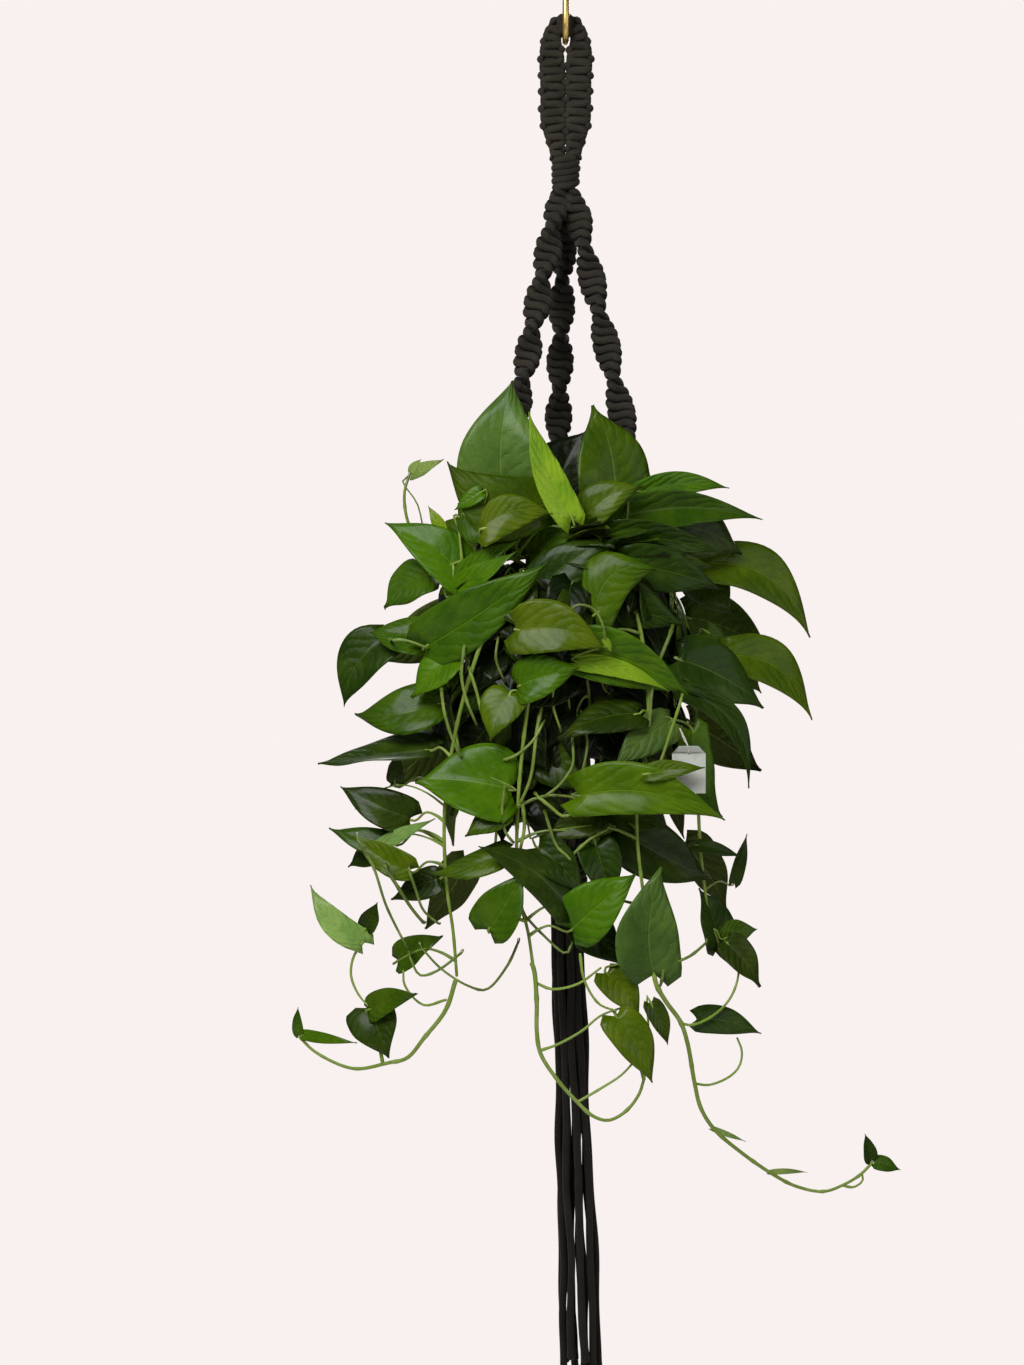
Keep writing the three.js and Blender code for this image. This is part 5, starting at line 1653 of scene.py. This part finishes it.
class PLANTER_OT_pot(Operator):
    """Mould the pot and fill it with soil"""
    bl_idname = "planter.pot"
    bl_label = "Pot and soil"

    def execute(self, context):
        rim, top, base = -POT_BOX[0][0] / MM, POT_BOX[1][2] / MM, POT_BOX[0][2] / MM
        pot = turned("nursery_pot", [
            (0, base + 1.4), (38, base + 1.4), (42, base), (50, base), (51.6, base + 1.4), (52, base + 3),
            (67.2, top - 20), (67.8, top - 18), (70.6, top - 15.6), (71.2, top - 14.6), (rim - 0.1, top - 2),
            (rim - 0.4, top - 0.6), (rim - 1.4, top), (rim - 3.2, top), (rim - 4.2, top - 0.8),
            (rim - 4.5, top - 2), (65.8, top - 18), (49.8, base + 4.4), (48, base + 3.8), (0, base + 3.8),
        ], 96)
        for turn in (60, 180, 300):
            drain = started(bpy.ops.mesh.primitive_cylinder_add, "drain", vertices=24, radius=4 * MM,
                            depth=12 * MM, location=around(turn, 26, base + 3))
            bored(pot, drain)
        smoothed(pot, 35)
        pot.data.materials.append(finish("pot", pot_finish))
        settle(pot, "planted_pot", "pot_plastic", "pot")
        settle(self.soil(), "planted_pot", "soil", "soil")
        return {"FINISHED"}

    def soil(self):
        """A crumbly surface, raised and rough, on a plain body that fills the pot."""
        crest, floor = -541.6, -659.4
        rings = [(r, crest - 1.8 * (r / 62) ** 2) for r in np.linspace(61.5, 0, 16)]
        body = turned("potting_soil", [(0, floor), (48.6, floor), (64, -547), (62.8, -544.6)] + rings, 72)
        rng = np.random.default_rng(9)
        count = 26
        waves = rng.uniform(90, 700, (count, 2)) * rng.choice([-1, 1], (count, 2))
        turns, heights = rng.uniform(0, 6.28, count), rng.uniform(0.1, 0.32, count)
        for vertex in body.data.vertices:
            x, y, z = vertex.co
            if z > -546 * MM:
                bumps = sum(h * math.sin(a * x + b * y + c) for (a, b), c, h in zip(waves, turns, heights))
                vertex.co.z += max(-1.4, min(1.3, bumps)) * MM
        smoothed(body, 60)
        body.data.materials.append(finish("soil", soil_finish))
        return body


class PLANTER_OT_vines(Operator):
    """Grow the pothos vines with their leaves and stalks"""
    bl_idname = "planter.vines"
    bl_label = "Vines"

    def execute(self, context):
        settings = context.scene.planter_plant
        leaf, stem = finish("leaf", leaf_finish), finish("stem", stem_finish)
        for name, data in VINES.items():
            surface = Surface()
            add_vine(surface, name, settings)
            piece = surface.made(f"leafy_{name}", leaf, stem)
            settle(piece, data.get("body", "planted_pot"), "leaf", name)
        for seed, (name, layer) in enumerate(LAYERS.items()):
            surface = Surface()
            add_layer(surface, layer, settings, 100 + seed)
            settle(surface.made(name, leaf, stem), "planted_pot", "leaf")
        for name, grow in (("crown_leaves", add_crown), ("runners", add_runners)):
            surface = Surface()
            grow(surface, settings)
            settle(surface.made(name, leaf, stem), "planted_pot", "leaf")
        return {"FINISHED"}


class PLANTER_OT_tag(Operator):
    """Cut the blank tag and hang it on its string"""
    bl_idname = "planter.tag"
    bl_label = "Tag"

    def execute(self, context):
        low, high = np.array(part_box("tag"))
        centre = (low + high) / 2
        wide, tall = high[0] - low[0], high[2] - low[2]
        card = started(bpy.ops.mesh.primitive_cube_add, "blank_tag", size=1,
                       scale=(wide, 0.7 * MM, tall), location=centre)
        punch = started(bpy.ops.mesh.primitive_cylinder_add, "punch", vertices=24, radius=1.6 * MM,
                        depth=6 * MM, location=(centre[0], centre[1], high[2] - 5 * MM),
                        rotation=(math.pi / 2, 0, 0))
        bored(card, punch)
        bpy.ops.object.mode_set(mode="EDIT")
        bpy.ops.mesh.select_all(action="DESELECT")
        bpy.ops.object.mode_set(mode="OBJECT")
        for edge in card.data.edges:
            ends = [card.data.vertices[i].co for i in edge.vertices]
            outer = all(end.z > centre[2] and abs(end.x - centre[0]) > 0.45 * wide for end in ends)
            edge.select = outer and abs(ends[0].y - ends[1].y) > 0.1 * MM
        corner = 6 * MM
        bpy.ops.object.mode_set(mode="EDIT")
        bpy.ops.mesh.bevel(offset=corner, segments=1)
        bpy.ops.object.mode_set(mode="OBJECT")
        modified(card, "BEVEL", width=0.15 * MM, segments=2, limit_method="ANGLE", angle_limit=math.radians(50))
        smoothed(card, 30)
        card.data.materials.append(finish("paper", paper_finish))
        settle(card, "card", "paper", "tag")
        eye = np.array([centre[0], centre[1] - 2.4 * MM, high[2] - 3 * MM])
        top = centre + np.array([-7, 3, 33]) * MM
        middle = mix(top, eye, 0.5) + np.array([1, 0, -1]) * MM
        surface = Surface()
        through = np.array([centre[0], centre[1] + 1.2 * MM, high[2] - 4.6 * MM])
        down = smooth_line([top, middle, eye, eye + np.array([0, 0.4, -1.6]) * MM, through], 40)
        behind = through + np.array([0.4, 1.0, 2.6]) * MM
        back = smooth_line([through, behind, mix(top, through, 0.5), top], 30)
        for line in (down, back):
            add_strand(surface, line, np.array([0.3, -1.0, 0.2]), 0.5 * MM, 0.6 * MM, sides=8)
        settle(surface.made("tag_loop", finish("string", string_finish)), "card", "string", "tag_string")
        return {"FINISHED"}


class PLANTER_PT_panel(Panel):
    """Every part of the planter, in the order in which it is made"""
    bl_idname = "PLANTER_PT_panel"
    bl_label = "Hanging planter"
    bl_space_type = "VIEW_3D"
    bl_region_type = "UI"
    bl_category = "Planter"

    def draw(self, context):
        for group in GROUPS:
            settings = getattr(context.scene, group)
            box = self.layout.box()
            for key in settings.bl_rna.properties.keys():
                if key not in ("rna_type", "name"):
                    box.prop(settings, key)
        for operator in OPERATORS:
            self.layout.operator(operator.bl_idname)


GROUPS = {
    "planter_cord": CordSettings,
    "planter_hook": HookSettings,
    "planter_plant": PlantSettings,
    "planter_stage": StageSettings,
}
OPERATORS = (
    PLANTER_OT_stage, PLANTER_OT_tassel, PLANTER_OT_hook, PLANTER_OT_loop, PLANTER_OT_arms,
    PLANTER_OT_net, PLANTER_OT_pot, PLANTER_OT_vines, PLANTER_OT_tag,
)


def register():
    for cls in (*GROUPS.values(), *OPERATORS, PLANTER_PT_panel):
        bpy.utils.register_class(cls)
    for name, cls in GROUPS.items():
        setattr(bpy.types.Scene, name, PointerProperty(type=cls))


def unregister():
    for name in GROUPS:
        delattr(bpy.types.Scene, name)
    for cls in reversed((*GROUPS.values(), *OPERATORS, PLANTER_PT_panel)):
        bpy.utils.unregister_class(cls)


def main():
    register()
    bpy.ops.planter.stage()
    bpy.ops.planter.tassel()
    bpy.ops.planter.hook()
    bpy.ops.planter.loop()
    bpy.ops.planter.arms()
    bpy.ops.planter.net()
    bpy.ops.planter.pot()
    bpy.ops.planter.vines()
    bpy.ops.planter.tag()
    on_its_own()


if __name__ == "__main__":
    main()
